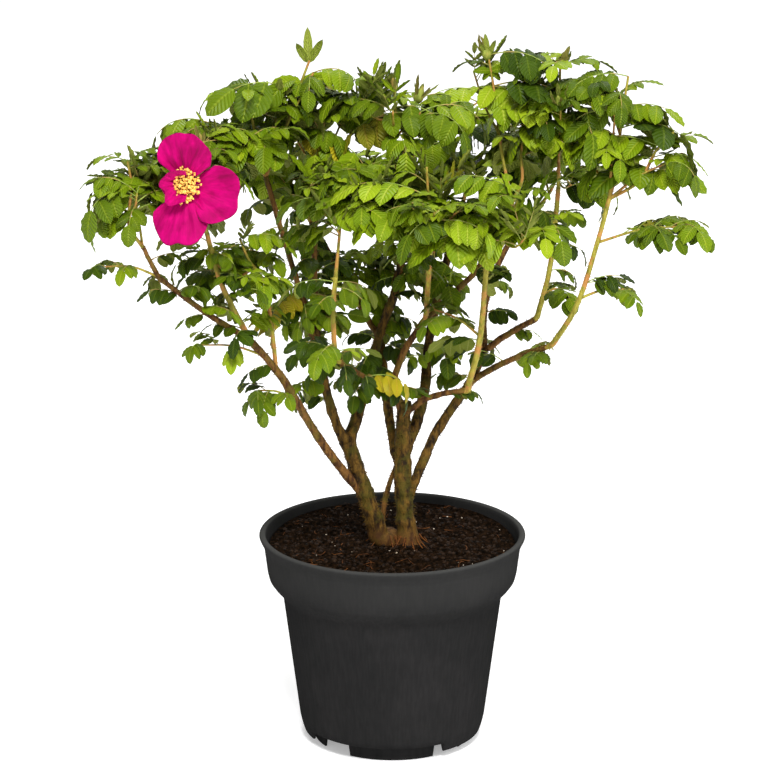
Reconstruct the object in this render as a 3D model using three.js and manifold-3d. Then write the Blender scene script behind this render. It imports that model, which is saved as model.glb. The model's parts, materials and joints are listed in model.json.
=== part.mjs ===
// A rugosa rose bush in a round nursery pot, in millimetres, +Z up.
// The origin is the middle of the pot's flat underside. +X is to the viewer's right and +Y is to the back.
// Each cane, bough and mass of foliage is one solid of its own, with a hair's breadth to its neighbours.
import * as THREE from "three";
import { mergeVertices } from "three/addons/utils/BufferGeometryUtils.js";
import Module from "manifold-3d";

const wasm = await Module();
wasm.setup();

// Driving dimensions.
const GAP = 0.4; // between pieces that touch
const SOIL_LEVEL = 176; // flat patch round the foot of the bush
const pot = {
  height: 185,
  wall: 2.2,
  rimRadius: 115,
  collarRadius: 109,
  collarBottom: 133,
  bodyTopRadius: 94.5,
  bodyBottomRadius: 80,
  skirtRadius: 76.6,
  skirtBottom: 6.5,
  floor: 14,
  footRadius: 68,
  centreFootRadius: 30,
  sides: 32,
};
const cuts = { width: 96, turn: -14, count: 2, top: 15 }; // arcs cut out of the skirt, in degrees
const footGaps = { width: 26, turn: 44, count: 4 }; // arcs cut out of the foot ring
const drain = { count: 6, radius: 7, circle: 48 };
const soil = { patch: 34, slope: 3.5, waves: 1.6 };

const colours = {
  pot: 0x2b2c2d,
  soil: 0x2a1c14,
  oldBark: 0x5b4a2c,
  cane: 0x6a4b2a,
  greenShoot: 0x8f8a3c,
  leaf: 0x3f6a1f,
  brightLeaf: 0x6b9428,
};

// Canes and boughs: the points that each runs through, its radius at foot and tip, the limb that it grows
// from, and the share by which its foot flares out at the ground.
const limbs = {
  left_trunk: { path: [[-7, -5, 170], [-25, -10, 228], [-39, -15, 271]], radii: [8, 6.6], flare: 0.4, old: true },
  centre_trunk: { path: [[14, -8, 170], [9, 0, 235], [10, 4, 300]], radii: [8, 6.4], flare: 0.45, old: true },
  sucker: { path: [[-11, 13, 170], [-5, 16, 215], [5, 10, 244]], radii: [2.8, 2.2], from: ["centre_trunk"] },
  outer_left_cane: {
    path: [[-29, -11, 225], [-61, -38, 278], [-96, -60, 345], [-119, -70, 375]],
    radii: [4, 3.2],
    from: ["left_trunk"],
  },
  left_cane_end: {
    path: [[-119, -70, 375], [-152, -80, 399], [-193, -90, 434]],
    radii: [2.8, 2.2],
    from: ["outer_left_cane"],
  },
  far_left_shoot: {
    path: [[-191, -90, 432], [-203, -93, 458], [-216, -88, 492]],
    radii: [2.2, 1.7],
    from: ["left_cane_end"],
  },
  flower_shoot: {
    path: [[-117, -69, 372], [-141, -88, 429], [-158, -74, 492]],
    radii: [2.6, 2],
    from: ["outer_left_cane", "left_cane_end"],
    green: true,
  },
  left_inner_shoot: {
    path: [[-97, -61, 347], [-101, -60, 390], [-108, -58, 432]],
    radii: [2, 1.7],
    from: ["outer_left_cane"],
    green: true,
  },
  left_fork_outer: {
    path: [[-38, -14, 262], [-52, -19, 300], [-64, -10, 350], [-78, 8, 400]],
    radii: [4.6, 3],
    from: ["left_trunk"],
    old: true,
  },
  left_fork_inner: {
    path: [[-38, -14, 264], [-26, 5, 300], [-14, 22, 345], [8, 10, 420], [2, -8, 530]],
    radii: [4.8, 2.6],
    from: ["left_trunk", "left_fork_outer"],
    old: true,
  },
  upper_left_bough: {
    path: [[-64, -8, 352], [-66, 6, 430], [-62, 14, 520]],
    radii: [2.8, 2.2],
    from: ["left_fork_outer"],
  },
  left_shoulder_bough: {
    path: [[-65, -6, 357], [-92, -12, 450], [-114, -10, 530]],
    radii: [2.7, 2.1],
    from: ["left_fork_outer", "upper_left_bough"],
  },
  back_left_bough: {
    path: [[-12, 24, 352], [-45, 62, 400], [-88, 102, 465]],
    radii: [3, 2.2],
    from: ["left_fork_inner"],
  },
  centre_fork_left: {
    path: [[4, 2, 246], [-4, 22, 290], [-10, 50, 345], [-12, 100, 440]],
    radii: [4.6, 2.6],
    from: ["centre_trunk"],
    old: true,
  },
  centre_fork_right: {
    path: [[12, 4, 258], [26, 24, 292], [33, 56, 349], [62, 92, 460]],
    radii: [5, 2.8],
    from: ["centre_trunk"],
    old: true,
  },
  crossing_twig: {
    path: [[3, -1, 309], [-19, -34, 330], [-47, -75, 359]],
    radii: [2.1, 1.9],
    from: ["arching_cane"],
  },
  front_shoot: {
    path: [[-47, -75, 357], [-49, -84, 400], [-44, -78, 460]],
    radii: [2.3, 1.9],
    from: ["crossing_twig"],
    green: true,
  },
  arching_cane: {
    path: [[6, 1, 294], [0, 0, 318], [24, 0, 369], [73, 2, 418], [108, 8, 490]],
    radii: [3.2, 2.2],
    from: ["centre_trunk"],
  },
  front_middle_shoot: {
    path: [[28, 0, 372], [30, -42, 420], [32, -82, 480]],
    radii: [2.4, 1.9],
    from: ["arching_cane"],
    green: true,
  },
  cross_branch: {
    path: [[12, -2, 292], [30, -10, 308], [63, -28, 319]],
    radii: [2.9, 2.5],
    from: ["centre_trunk", "arching_cane"],
  },
  green_shoot: {
    path: [[62, -27, 317], [72, -42, 360], [78, -60, 440]],
    radii: [2.9, 2.2],
    from: ["cross_branch"],
    green: true,
  },
  right_cane: {
    path: [[14, 0, 216], [38, 12, 271], [69, 22, 316], [79, 25, 341]],
    radii: [4.6, 3.7],
    from: ["centre_trunk"],
    old: true,
  },
  right_cane_end: {
    path: [[78, 25, 338], [98, 28, 353], [124, 32, 366]],
    radii: [3.1, 2.6],
    from: ["right_cane"],
  },
  inner_right_shoot: {
    path: [[123, 32, 364], [134, 26, 410], [142, 8, 520]],
    radii: [2.5, 2],
    from: ["right_cane_end"],
    green: true,
  },
  rear_cane: {
    path: [[79, 25, 339], [80, 52, 373], [104, 84, 425], [144, 98, 465]],
    radii: [2.9, 2.2],
    from: ["right_cane", "right_cane_end"],
  },
  outer_right_cane: {
    path: [[70, 22, 315], [97, -8, 339], [133, -38, 361]],
    radii: [2.9, 2.5],
    from: ["right_cane"],
  },
  outer_right_shoot: {
    path: [[132, -37, 359], [152, -52, 396], [170, -52, 455], [184, -26, 500]],
    radii: [2.5, 1.9],
    from: ["outer_right_cane"],
    green: true,
  },
};

// Masses of foliage: middle and half extents of each.
const masses = {
  top_sprig: { at: [-69, 0, 587], half: [20, 18, 35], bright: true },
  left_shoulder: { at: [-119, -10, 540], half: [50, 45, 40] },
  far_left: { at: [-212, -80, 499], half: [41, 34, 45] },
  behind_flower: { at: [-158, -52, 500], half: [38, 38, 54] },
  left_low_spray: { at: [-216, -94, 438], half: [30, 12, 9], small: true },
  left_inner: { at: [-125, -60, 432], half: [52, 40, 40] },
  upper_left: { at: [-55, 20, 533], half: [42, 42, 48] },
  top_middle: { at: [0, -10, 545], half: [44, 40, 47] },
  front_left: { at: [-42, -66, 475], half: [46, 42, 50] },
  front_middle: { at: [32, -90, 493], half: [48, 42, 50], bright: true },
  low_middle: { at: [-40, 44, 392], half: [46, 42, 40] },
  low_centre: { at: [30, 38, 408], half: [40, 36, 38] },
  left_cane_spray: { at: [-142, -78, 366], half: [28, 12, 12], small: true },
  lower_left_spray: { at: [-94, -60, 322], half: [34, 14, 11], small: true },
  right_peak: { at: [81, 10, 569], half: [28, 28, 41], bright: true },
  right_top: { at: [142, 0, 564], half: [42, 38, 48] },
  right_shoulder: { at: [192, -10, 560], half: [30, 28, 34] },
  right_heart: { at: [112, 12, 508], half: [40, 36, 34] },
  right_side: { at: [181, -10, 508], half: [42, 36, 34] },
  far_right: { at: [230, -30, 515], half: [28, 30, 40] },
  front_right: { at: [103, -92, 475], half: [52, 42, 44], bright: true },
  right_low_spray: { at: [212, -60, 458], half: [46, 22, 20], small: true },
  right_small_spray: { at: [184, -50, 407], half: [24, 10, 8], small: true },
  right_cane_spray: { at: [114, -24, 346], half: [25, 10, 10], small: true },
  inner_right_spray: { at: [132, 30, 384], half: [22, 16, 15], small: true },
  green_shoot_spray: { at: [54, -34, 381], half: [30, 18, 16], small: true },
  centre_spray: { at: [42, 22, 340], half: [17, 14, 11], small: true },
  back_left: { at: [-98, 108, 475], half: [58, 50, 56] },
  back_middle: { at: [-14, 118, 452], half: [48, 46, 52] },
  back_centre: { at: [68, 104, 485], half: [54, 46, 56] },
  back_right: { at: [152, 98, 478], half: [50, 44, 50] },
};

// three.js geometry to a solid that can be cut, and back.
function solidOf(geometry) {
  const bare = geometry.clone();
  bare.deleteAttribute("normal");
  bare.deleteAttribute("uv");
  const merged = mergeVertices(bare, 1e-3);
  return new wasm.Manifold(
    new wasm.Mesh({
      numProp: 3,
      vertProperties: merged.attributes.position.array,
      triVerts: new Uint32Array(merged.index.array),
    }),
  );
}

function geometryOf(solid) {
  const mesh = solid.getMesh();
  const geometry = new THREE.BufferGeometry();
  geometry.setAttribute("position", new THREE.BufferAttribute(mesh.vertProperties, mesh.numProp));
  geometry.setIndex(new THREE.BufferAttribute(mesh.triVerts, 1));
  geometry.computeVertexNormals();
  return geometry;
}

// The piece of a cut solid that is worth keeping: its largest.
function largest(solid) {
  return solid.decompose().reduce((a, b) => (a.volume() > b.volume() ? a : b));
}

// A turned solid about +Z from points of radius and height, listed outside first, from the bottom up.
function turned(profile, sides) {
  const points = profile.map(([r, z]) => new THREE.Vector2(r, z));
  return new THREE.LatheGeometry(points, sides).rotateX(Math.PI / 2);
}

// A wedge of a ring about +Z between two radii and two heights, centred on an angle in degrees from -Y.
function arcBlock(inner, outer, bottom, top, turn, width) {
  const from = THREE.MathUtils.degToRad(turn - width / 2 - 90);
  const to = THREE.MathUtils.degToRad(turn + width / 2 - 90);
  const outline = new THREE.Shape();
  outline.absarc(0, 0, outer, from, to, false);
  outline.absarc(0, 0, inner, to, from, true);
  outline.closePath();
  const options = { depth: top - bottom, bevelEnabled: false, curveSegments: 10 };
  return solidOf(new THREE.ExtrudeGeometry(outline, options).translate(0, 0, bottom));
}

// A thin moulded shell: collar with a rolled lip, tapered body, and a foot ring set in under a skirt,
// with a solid foot in the middle.
function makePot() {
  const { wall, height } = pot;
  const profile = [
    [0, 0],
    [pot.centreFootRadius, 0],
    [pot.centreFootRadius, pot.floor - wall],
    [pot.footRadius - wall, pot.floor - wall],
    [pot.footRadius - wall, 0],
    [pot.footRadius, 0],
    [pot.footRadius, pot.floor],
    [pot.skirtRadius - wall, pot.floor],
    [pot.skirtRadius - wall, pot.skirtBottom],
    [pot.skirtRadius, pot.skirtBottom],
    [pot.bodyBottomRadius, pot.skirtBottom + 12],
    [pot.bodyTopRadius, pot.collarBottom - 3],
    [pot.bodyTopRadius + 2.5, pot.collarBottom],
    [pot.collarRadius - 7, pot.collarBottom + 6],
    [pot.collarRadius - 2.4, pot.collarBottom + 12],
    [pot.collarRadius - 0.8, pot.collarBottom + 20],
    [pot.collarRadius + 2, height - 7],
    [pot.rimRadius - 0.8, height - 4.5],
    [pot.rimRadius, height - 2.6],
    [pot.rimRadius - 0.8, height],
    [pot.rimRadius - 4, height],
    [pot.collarRadius - 0.6, height - 3],
    [pot.collarRadius - 3, pot.collarBottom + 20],
    [pot.collarRadius - 9, pot.collarBottom + 8],
    [pot.bodyTopRadius - wall, pot.collarBottom - 1],
    [pot.bodyBottomRadius - wall, pot.skirtBottom + 14],
    [pot.skirtRadius - 5, pot.floor + wall],
    [0, pot.floor + wall],
  ];
  let shell = solidOf(turned(profile, pot.sides));
  for (let i = 0; i < cuts.count; i++) {
    const turn = cuts.turn + (i * 360) / cuts.count;
    const under = pot.skirtBottom - 5;
    const skirt = arcBlock(pot.footRadius + 1, pot.rimRadius, under, cuts.top, turn, cuts.width);
    shell = shell.subtract(skirt.trimByPlane([0, 0, -1], -pot.floor - 0.5));
  }
  for (let i = 0; i < footGaps.count; i++) {
    const turn = footGaps.turn + (i * 360) / footGaps.count;
    const inner = pot.footRadius - wall - 1;
    const ring = arcBlock(inner, pot.footRadius + 1, -1, pot.floor - wall - 0.5, turn, footGaps.width);
    shell = shell.subtract(ring);
  }
  for (let i = 0; i < drain.count; i++) {
    const angle = ((i + 0.5) * 2 * Math.PI) / drain.count;
    const hole = new THREE.CylinderGeometry(drain.radius, drain.radius, 2 * pot.floor, 12)
      .rotateX(Math.PI / 2)
      .translate(drain.circle * Math.cos(angle), drain.circle * Math.sin(angle), pot.floor);
    shell = shell.subtract(solidOf(hole));
  }
  return shell;
}

// The compost fills the pot. Its top is flat round the stems and uneven towards the wall.
function makeSoil() {
  const side = pot.wall + GAP;
  const profile = [
    [0, pot.floor + side],
    [pot.skirtRadius - 6, pot.floor + side],
    [pot.bodyBottomRadius - side, pot.skirtBottom + 15],
    [pot.bodyTopRadius - side, pot.collarBottom],
    [pot.collarRadius - 10, pot.collarBottom + 8],
    [pot.collarRadius - 4, pot.collarBottom + 20],
    [pot.collarRadius - 2.6, SOIL_LEVEL - soil.slope],
    [78, SOIL_LEVEL - 0.6 * soil.slope],
    [54, SOIL_LEVEL - 0.2 * soil.slope],
    [soil.patch, SOIL_LEVEL],
    [0, SOIL_LEVEL],
  ];
  const geometry = turned(profile, pot.sides);
  const place = geometry.attributes.position;
  for (let i = 0; i < place.count; i++) {
    const x = place.getX(i);
    const y = place.getY(i);
    const z = place.getZ(i);
    const r = Math.hypot(x, y);
    if (z < pot.collarBottom + 21 || r < soil.patch + 1) continue;
    const angle = Math.atan2(y, x);
    const share = THREE.MathUtils.smoothstep(r, soil.patch, pot.collarRadius);
    place.setZ(i, z + soil.waves * share * (Math.sin(3 * angle + 0.8) + Math.sin(angle - 0.6)));
  }
  return solidOf(geometry);
}

// A tapering limb: a cylinder carried along a smooth curve. The foot widens by flare where it meets the ground.
function limbSolid({ path, radii, flare = 0 }, grow = 0) {
  const curve = new THREE.CatmullRomCurve3(path.map((p) => new THREE.Vector3(...p)), false, "centripetal");
  const [footRadius, tipRadius] = radii;
  const sides = footRadius > 4.7 ? 8 : 6;
  const steps = Math.round(THREE.MathUtils.clamp(curve.getLength() / 20, 3, 8));
  const frames = curve.computeFrenetFrames(steps, false);
  const geometry = new THREE.CylinderGeometry(1, 1, steps, sides, steps);
  const place = geometry.attributes.position;
  for (let i = 0; i < place.count; i++) {
    const step = Math.round(place.getY(i) + steps / 2);
    const t = step / steps;
    const rooted = flare * Math.exp(-t * 7);
    const radius = THREE.MathUtils.lerp(footRadius, tipRadius, t) * (1 + rooted) + grow;
    const point = curve
      .getPointAt(t)
      .addScaledVector(frames.normals[step], -place.getX(i) * radius)
      .addScaledVector(frames.binormals[step], place.getZ(i) * radius);
    place.setXYZ(i, point.x, point.y, point.z);
  }
  return solidOf(geometry);
}

// An uneven closed blob: a sphere of triangles with three long waves in its radius, stretched to the half extents.
function massSolid({ at, half, small }, seed) {
  const geometry = small ? new THREE.IcosahedronGeometry(1, 1) : new THREE.OctahedronGeometry(1, 3);
  const place = geometry.attributes.position;
  const way = new THREE.Vector3();
  for (let i = 0; i < place.count; i++) {
    way.fromBufferAttribute(place, i).normalize();
    const radius =
      1 +
      0.07 * Math.sin(4.1 * way.x + 3.3 * way.z + 2.4 * seed) +
      0.06 * Math.sin(5.3 * way.y - 4.7 * way.z + 4.1 * seed) +
      0.05 * Math.cos(6.1 * way.x - 3.9 * way.y + 1.7 * seed);
    way.multiplyScalar(radius);
    place.setXYZ(i, at[0] + way.x * half[0], at[1] + way.y * half[1], at[2] + way.z * half[2]);
  }
  return solidOf(geometry);
}

// How far a mass reaches from its middle along a direction.
function reach({ half }, way) {
  return Math.hypot(half[0] * way.x, half[1] * way.y, half[2] * way.z);
}

// Two masses that run into each other are parted by a plane between them, nearer to the smaller.
function partMasses(solids) {
  const names = Object.keys(masses);
  names.forEach((a, i) =>
    names.slice(i + 1).forEach((b) => {
      if (solids[a].intersect(solids[b]).volume() < 1e-3) return;
      const from = new THREE.Vector3(...masses[a].at);
      const way = new THREE.Vector3(...masses[b].at).sub(from);
      const apart = way.length();
      way.normalize();
      const reachA = reach(masses[a], way);
      const at = from.dot(way) + (apart * reachA) / (reachA + reach(masses[b], way));
      solids[a] = solids[a].trimByPlane([-way.x, -way.y, -way.z], -at + GAP / 2);
      solids[b] = solids[b].trimByPlane([way.x, way.y, way.z], at + GAP / 2);
    }),
  );
}

// A mass a little larger about its own middle, to cut a limb clear of it.
function grownMass(solid, { at, half }) {
  const scale = 1 + GAP / Math.min(...half) + 0.01;
  return solid.translate(-at[0], -at[1], -at[2]).scale(scale).translate(...at);
}

// Does the limb end in this mass? Its tip then lies inside the mass.
function endsIn(limb, mass) {
  const tip = new THREE.Vector3(...limb.path.at(-1)).sub(new THREE.Vector3(...mass.at));
  return Math.hypot(tip.x / mass.half[0], tip.y / mass.half[1], tip.z / mass.half[2]) < 0.9;
}

// The piece of a limb that holds its foot, once the rest is cut away.
function footPiece(solid) {
  return solid.decompose().reduce((a, b) => (a.boundingBox().min[2] < b.boundingBox().min[2] ? a : b));
}

const solids = { pot: makePot(), soil: makeSoil() };
const limbSolids = {};
for (const [name, limb] of Object.entries(limbs)) limbSolids[name] = limbSolid(limb);
for (const [name, limb] of Object.entries(limbs)) {
  for (const parent of limb.from ?? []) {
    limbSolids[name] = limbSolids[name].subtract(limbSolid(limbs[parent], GAP));
  }
  limbSolids[name] = limbSolids[name].trimByPlane([0, 0, 1], SOIL_LEVEL + GAP);
  limbSolids[name] = largest(limbSolids[name]);
}

const massSolids = {};
Object.entries(masses).forEach(([name, mass], i) => {
  massSolids[name] = massSolid(mass, i + 1);
});
partMasses(massSolids);
for (const [limbName, limb] of Object.entries(limbs)) {
  for (const [massName, mass] of Object.entries(masses)) {
    if (limbSolids[limbName].intersect(massSolids[massName]).volume() < 1e-3) continue;
    if (endsIn(limb, mass)) {
      const cutter = grownMass(massSolids[massName], mass);
      limbSolids[limbName] = footPiece(limbSolids[limbName].subtract(cutter));
    } else {
      massSolids[massName] = largest(massSolids[massName].subtract(limbSolid(limb, GAP)));
    }
  }
}

function material(colour, roughness) {
  return new THREE.MeshStandardMaterial({ color: colour, roughness, metalness: 0 });
}

const materials = {
  pot: material(colours.pot, 0.45),
  soil: material(colours.soil, 0.95),
  oldBark: material(colours.oldBark, 0.85),
  cane: material(colours.cane, 0.75),
  greenShoot: material(colours.greenShoot, 0.6),
  leaf: material(colours.leaf, 0.6),
  brightLeaf: material(colours.brightLeaf, 0.6),
};

// Slivers left by the cuts are smoothed away, well within the gaps.
const bush = new THREE.Group();
function addPiece(name, solid, finish) {
  const mesh = new THREE.Mesh(geometryOf(largest(solid.simplify(0.15))), finish);
  mesh.name = name;
  bush.add(mesh);
}

addPiece("pot", solids.pot, materials.pot);
addPiece("soil", solids.soil, materials.soil);
for (const [name, limb] of Object.entries(limbs)) {
  const barkKind = limb.old ? "oldBark" : limb.green ? "greenShoot" : "cane";
  addPiece(name, limbSolids[name], materials[barkKind]);
}
for (const [name, mass] of Object.entries(masses)) {
  addPiece(`foliage_${name}`, massSolids[name], mass.bright ? materials.brightLeaf : materials.leaf);
}

export default bush;
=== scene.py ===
import json
import math

import bpy
import numpy as np
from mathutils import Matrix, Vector
from mathutils.bvhtree import BVHTree


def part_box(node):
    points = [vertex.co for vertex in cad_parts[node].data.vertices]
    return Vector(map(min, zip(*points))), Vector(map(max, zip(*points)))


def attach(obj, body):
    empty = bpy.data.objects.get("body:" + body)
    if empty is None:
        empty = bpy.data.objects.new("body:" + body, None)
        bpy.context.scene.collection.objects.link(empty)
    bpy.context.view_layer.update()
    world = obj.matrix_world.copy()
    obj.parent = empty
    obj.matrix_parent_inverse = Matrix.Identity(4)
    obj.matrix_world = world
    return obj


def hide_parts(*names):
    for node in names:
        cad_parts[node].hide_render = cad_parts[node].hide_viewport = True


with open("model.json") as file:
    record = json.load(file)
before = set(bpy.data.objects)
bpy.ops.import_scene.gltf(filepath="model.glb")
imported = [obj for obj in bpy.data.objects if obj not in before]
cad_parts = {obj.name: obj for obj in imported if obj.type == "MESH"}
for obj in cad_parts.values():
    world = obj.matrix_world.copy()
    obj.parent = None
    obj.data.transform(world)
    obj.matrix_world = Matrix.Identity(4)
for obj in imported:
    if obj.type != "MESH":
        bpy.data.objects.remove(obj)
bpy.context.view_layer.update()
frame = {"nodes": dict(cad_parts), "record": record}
mm = 0.001  # shapes are worked out in millimetres
rng = np.random.default_rng(41)


def rgb(r, g, b):
    # display colour, 0 to 255, to the linear values that a shader takes
    c = np.array([r, g, b]) / 255
    linear = np.where(c <= 0.04045, c / 12.92, ((c + 0.055) / 1.055) ** 2.4)
    return (*linear.tolist(), 1.0)


def unit(v):
    return v / np.maximum(np.linalg.norm(v, axis=-1, keepdims=True), 1e-9)


def ringAngles(count):
    return np.arange(count) * 2 * math.pi / count


def levelWay(turn):
    return np.array([math.cos(turn), math.sin(turn), 0])


def anyTurn(count=None):
    return rng.uniform(0, 2 * math.pi, count)


def pathLength(path):
    return np.linalg.norm(np.diff(path, axis=0), axis=1).sum()


def smooth(low, high, x):
    # 0 below low, 1 above high, and an S between them
    t = np.clip((x - low) / (high - low), 0, 1)
    return t * t * (3 - 2 * t)


def lumps(points, size, seed):
    # a smooth random field from -1 to 1: random values on a lattice of that size, blended between corners
    q = np.asarray(points, float) / size
    base = np.floor(q).astype(np.int64)
    f = q - base
    f = f * f * (3 - 2 * f)
    total = np.zeros(q.shape[:-1])
    for corner in np.ndindex(2, 2, 2):
        c = np.array(corner)
        i = base + c
        h = (i[..., 0] * 73856093) ^ (i[..., 1] * 19349663) ^ (i[..., 2] * 83492791) ^ (seed * 265443576)
        h = (h ^ (h >> 13)) & 0x7FFFFFFF
        h = (h * 1274126177) & 0x7FFFFFFF
        value = ((h ^ (h >> 15)) & 0xFFFF) / 32767.5 - 1
        total += np.prod(np.where(c == 1, f, 1 - f), axis=-1) * value
    return total


class Batch:
    # many small closed shapes gathered into one piece
    def __init__(self):
        self.points, self.quads, self.tris, self.marks, self.count = [], [], [], [], 0

    def add(self, points, quads=None, tris=None, marks=None):
        if quads is not None and len(quads):
            self.quads.append(quads + self.count)
        if tris is not None and len(tris):
            self.tris.append(tris + self.count)
        self.points.append(points)
        if marks is not None:
            self.marks.append(marks)
        self.count += len(points)

    def build(self, name, finishes, slotName, **more):
        faces = [np.concatenate(f) for f in (self.quads, self.tris) if f]
        marks = np.concatenate(self.marks) if self.marks else None
        return makePiece(name, np.concatenate(self.points), faces, finishes, slotName, marks=marks, **more)


def makePiece(name, points, faces, finishes, slotName, marks=None, faceFinish=None, rim=None, flat=False):
    # points in mm, faces as arrays of three or four corners, marks as a vector on each point for the finish
    mesh = bpy.data.meshes.new(name)
    corners = np.concatenate([f.ravel() for f in faces]).astype(np.int32)
    sizes = np.concatenate([np.full(len(f), f.shape[1]) for f in faces])
    starts = np.concatenate([[0], np.cumsum(sizes)[:-1]]).astype(np.int32)
    mesh.vertices.add(len(points))
    mesh.vertices.foreach_set("co", (points * mm).astype(np.float32).ravel())
    mesh.loops.add(len(corners))
    mesh.loops.foreach_set("vertex_index", corners)
    mesh.polygons.add(len(sizes))
    mesh.polygons.foreach_set("loop_start", starts)
    mesh.update(calc_edges=True)
    mesh.polygons.foreach_set("use_smooth", np.full(len(sizes), not flat))
    if faceFinish is not None:
        mesh.polygons.foreach_set("material_index", faceFinish.astype(np.int32))
    if marks is not None:
        blade = mesh.attributes.new("blade", "FLOAT_VECTOR", "POINT")
        blade.data.foreach_set("vector", marks.astype(np.float32).ravel())
    if rim is not None:  # a crease runs along every edge between two rim points
        ends = np.empty(len(mesh.edges) * 2, np.int32)
        mesh.edges.foreach_get("vertices", ends)
        sharp = rim[ends.reshape(-1, 2)].all(1)
        mesh.attributes.new("sharp_edge", "BOOLEAN", "EDGE").data.foreach_set("value", sharp)
    for finish in finishes:
        mesh.materials.append(finish)
    mesh.validate()
    piece = bpy.data.objects.new(name, mesh)
    bpy.context.scene.collection.objects.link(piece)
    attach(piece, "root")
    print(f"  {name}: {len(points)} points, {int((sizes - 2).sum())} triangles")
    return piece


def gridQuads(rows, columns, wrapColumns=False):
    # the faces of a grid whose points run row by row
    r = np.arange(rows - 1)[:, None]
    c = np.arange(columns if wrapColumns else columns - 1)[None, :]
    c2 = (c + 1) % columns
    quads = [r * columns + c, r * columns + c2, (r + 1) * columns + c2, (r + 1) * columns + c]
    return np.stack([np.broadcast_to(q, (r.shape[0], c.shape[1])) for q in quads], -1).reshape(-1, 4)


def fan(count, start, middle, flip=False):
    # triangles from a ring of points, the first of them at start, to one point in its middle
    c = np.arange(count)
    tris = np.stack([c + start, (c + 1) % count + start, np.full(count, middle)], 1)
    return tris[:, ::-1] if flip else tris


def repeatFaces(faces, count):
    # the faces of one small shape, repeated for as many shapes as there are
    corners = faces.max() + 1
    return (faces[None] + corners * np.arange(count)[:, None, None]).reshape(-1, 3)


def curve(points, count):
    # a smooth path through the points: cubic pieces whose slopes are the chords across each point
    p = np.asarray(points, float)
    gaps = np.linalg.norm(np.diff(p, axis=0), axis=1)
    s = np.concatenate([[0], np.cumsum(gaps)])
    slope = np.gradient(p, s, axis=0)
    at = np.linspace(0, s[-1], count)
    i = np.clip(np.searchsorted(s, at) - 1, 0, len(p) - 2)
    h = (s[i + 1] - s[i])[:, None]
    t = ((at - s[i]) / h[:, 0])[:, None]
    a, b, ma, mb = p[i], p[i + 1], slope[i] * h, slope[i + 1] * h
    fromStart, toEnd = 2 * t**3 - 3 * t**2 + 1, 3 * t**2 - 2 * t**3
    return fromStart * a + (t**3 - 2 * t**2 + t) * ma + toEnd * b + (t**3 - t**2) * mb


def ringFrames(path):
    # along, side and up at each point of a path, carried on with no twist
    along = unit(np.gradient(path, axis=0))
    side = np.zeros_like(path)
    start = np.cross(along[0], [0.3, 0.9, 0.1])
    side[0] = unit(start)
    for i in range(1, len(path)):
        side[i] = unit(side[i - 1] - along[i] * (side[i - 1] @ along[i]))
    return along, side, np.cross(along, side)


def tube(path, radius, sides, relief=None):
    # a ring carried along a path, closed by a point at each end
    # relief(points, angle, distance along the path) is added to the radius
    along, side, up = ringFrames(path)
    angle = ringAngles(sides)
    spoke = np.cos(angle)[None, :, None] * side[:, None] + np.sin(angle)[None, :, None] * up[:, None]
    r = np.broadcast_to(np.asarray(radius, float).reshape(-1, 1), (len(path), sides)).copy()
    if relief is not None:
        distance = np.concatenate([[0], np.cumsum(np.linalg.norm(np.diff(path, axis=0), axis=1))])
        r += relief(path[:, None] + spoke * r[..., None], angle[None, :], distance[:, None])
    rings = path[:, None] + spoke * r[..., None]
    points = np.concatenate([rings.reshape(-1, 3), path[:1], path[-1:]])
    quads = gridQuads(len(path), sides, wrapColumns=True)
    firstCap = fan(sides, 0, len(points) - 2, flip=True)
    lastCap = fan(sides, (len(path) - 1) * sides, len(points) - 1)
    return points, quads, np.concatenate([firstCap, lastCap])


class Link:
    # a shader socket that takes part in sums: each sign adds a Math node
    def __init__(self, finish, socket):
        self.finish, self.socket = finish, socket

    def sum(self, operation, a, b):
        return self.finish.node("ShaderNodeMath", {"operation": operation}, {0: a, 1: b})

    def __add__(self, other):
        return self.sum("ADD", self, other)

    def __radd__(self, other):
        return self.sum("ADD", other, self)

    def __sub__(self, other):
        return self.sum("SUBTRACT", self, other)

    def __rsub__(self, other):
        return self.sum("SUBTRACT", other, self)

    def __mul__(self, other):
        return self.sum("MULTIPLY", self, other)

    def __rmul__(self, other):
        return self.sum("MULTIPLY", other, self)

    def __abs__(self):
        return self.sum("ABSOLUTE", self, 0)


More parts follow.
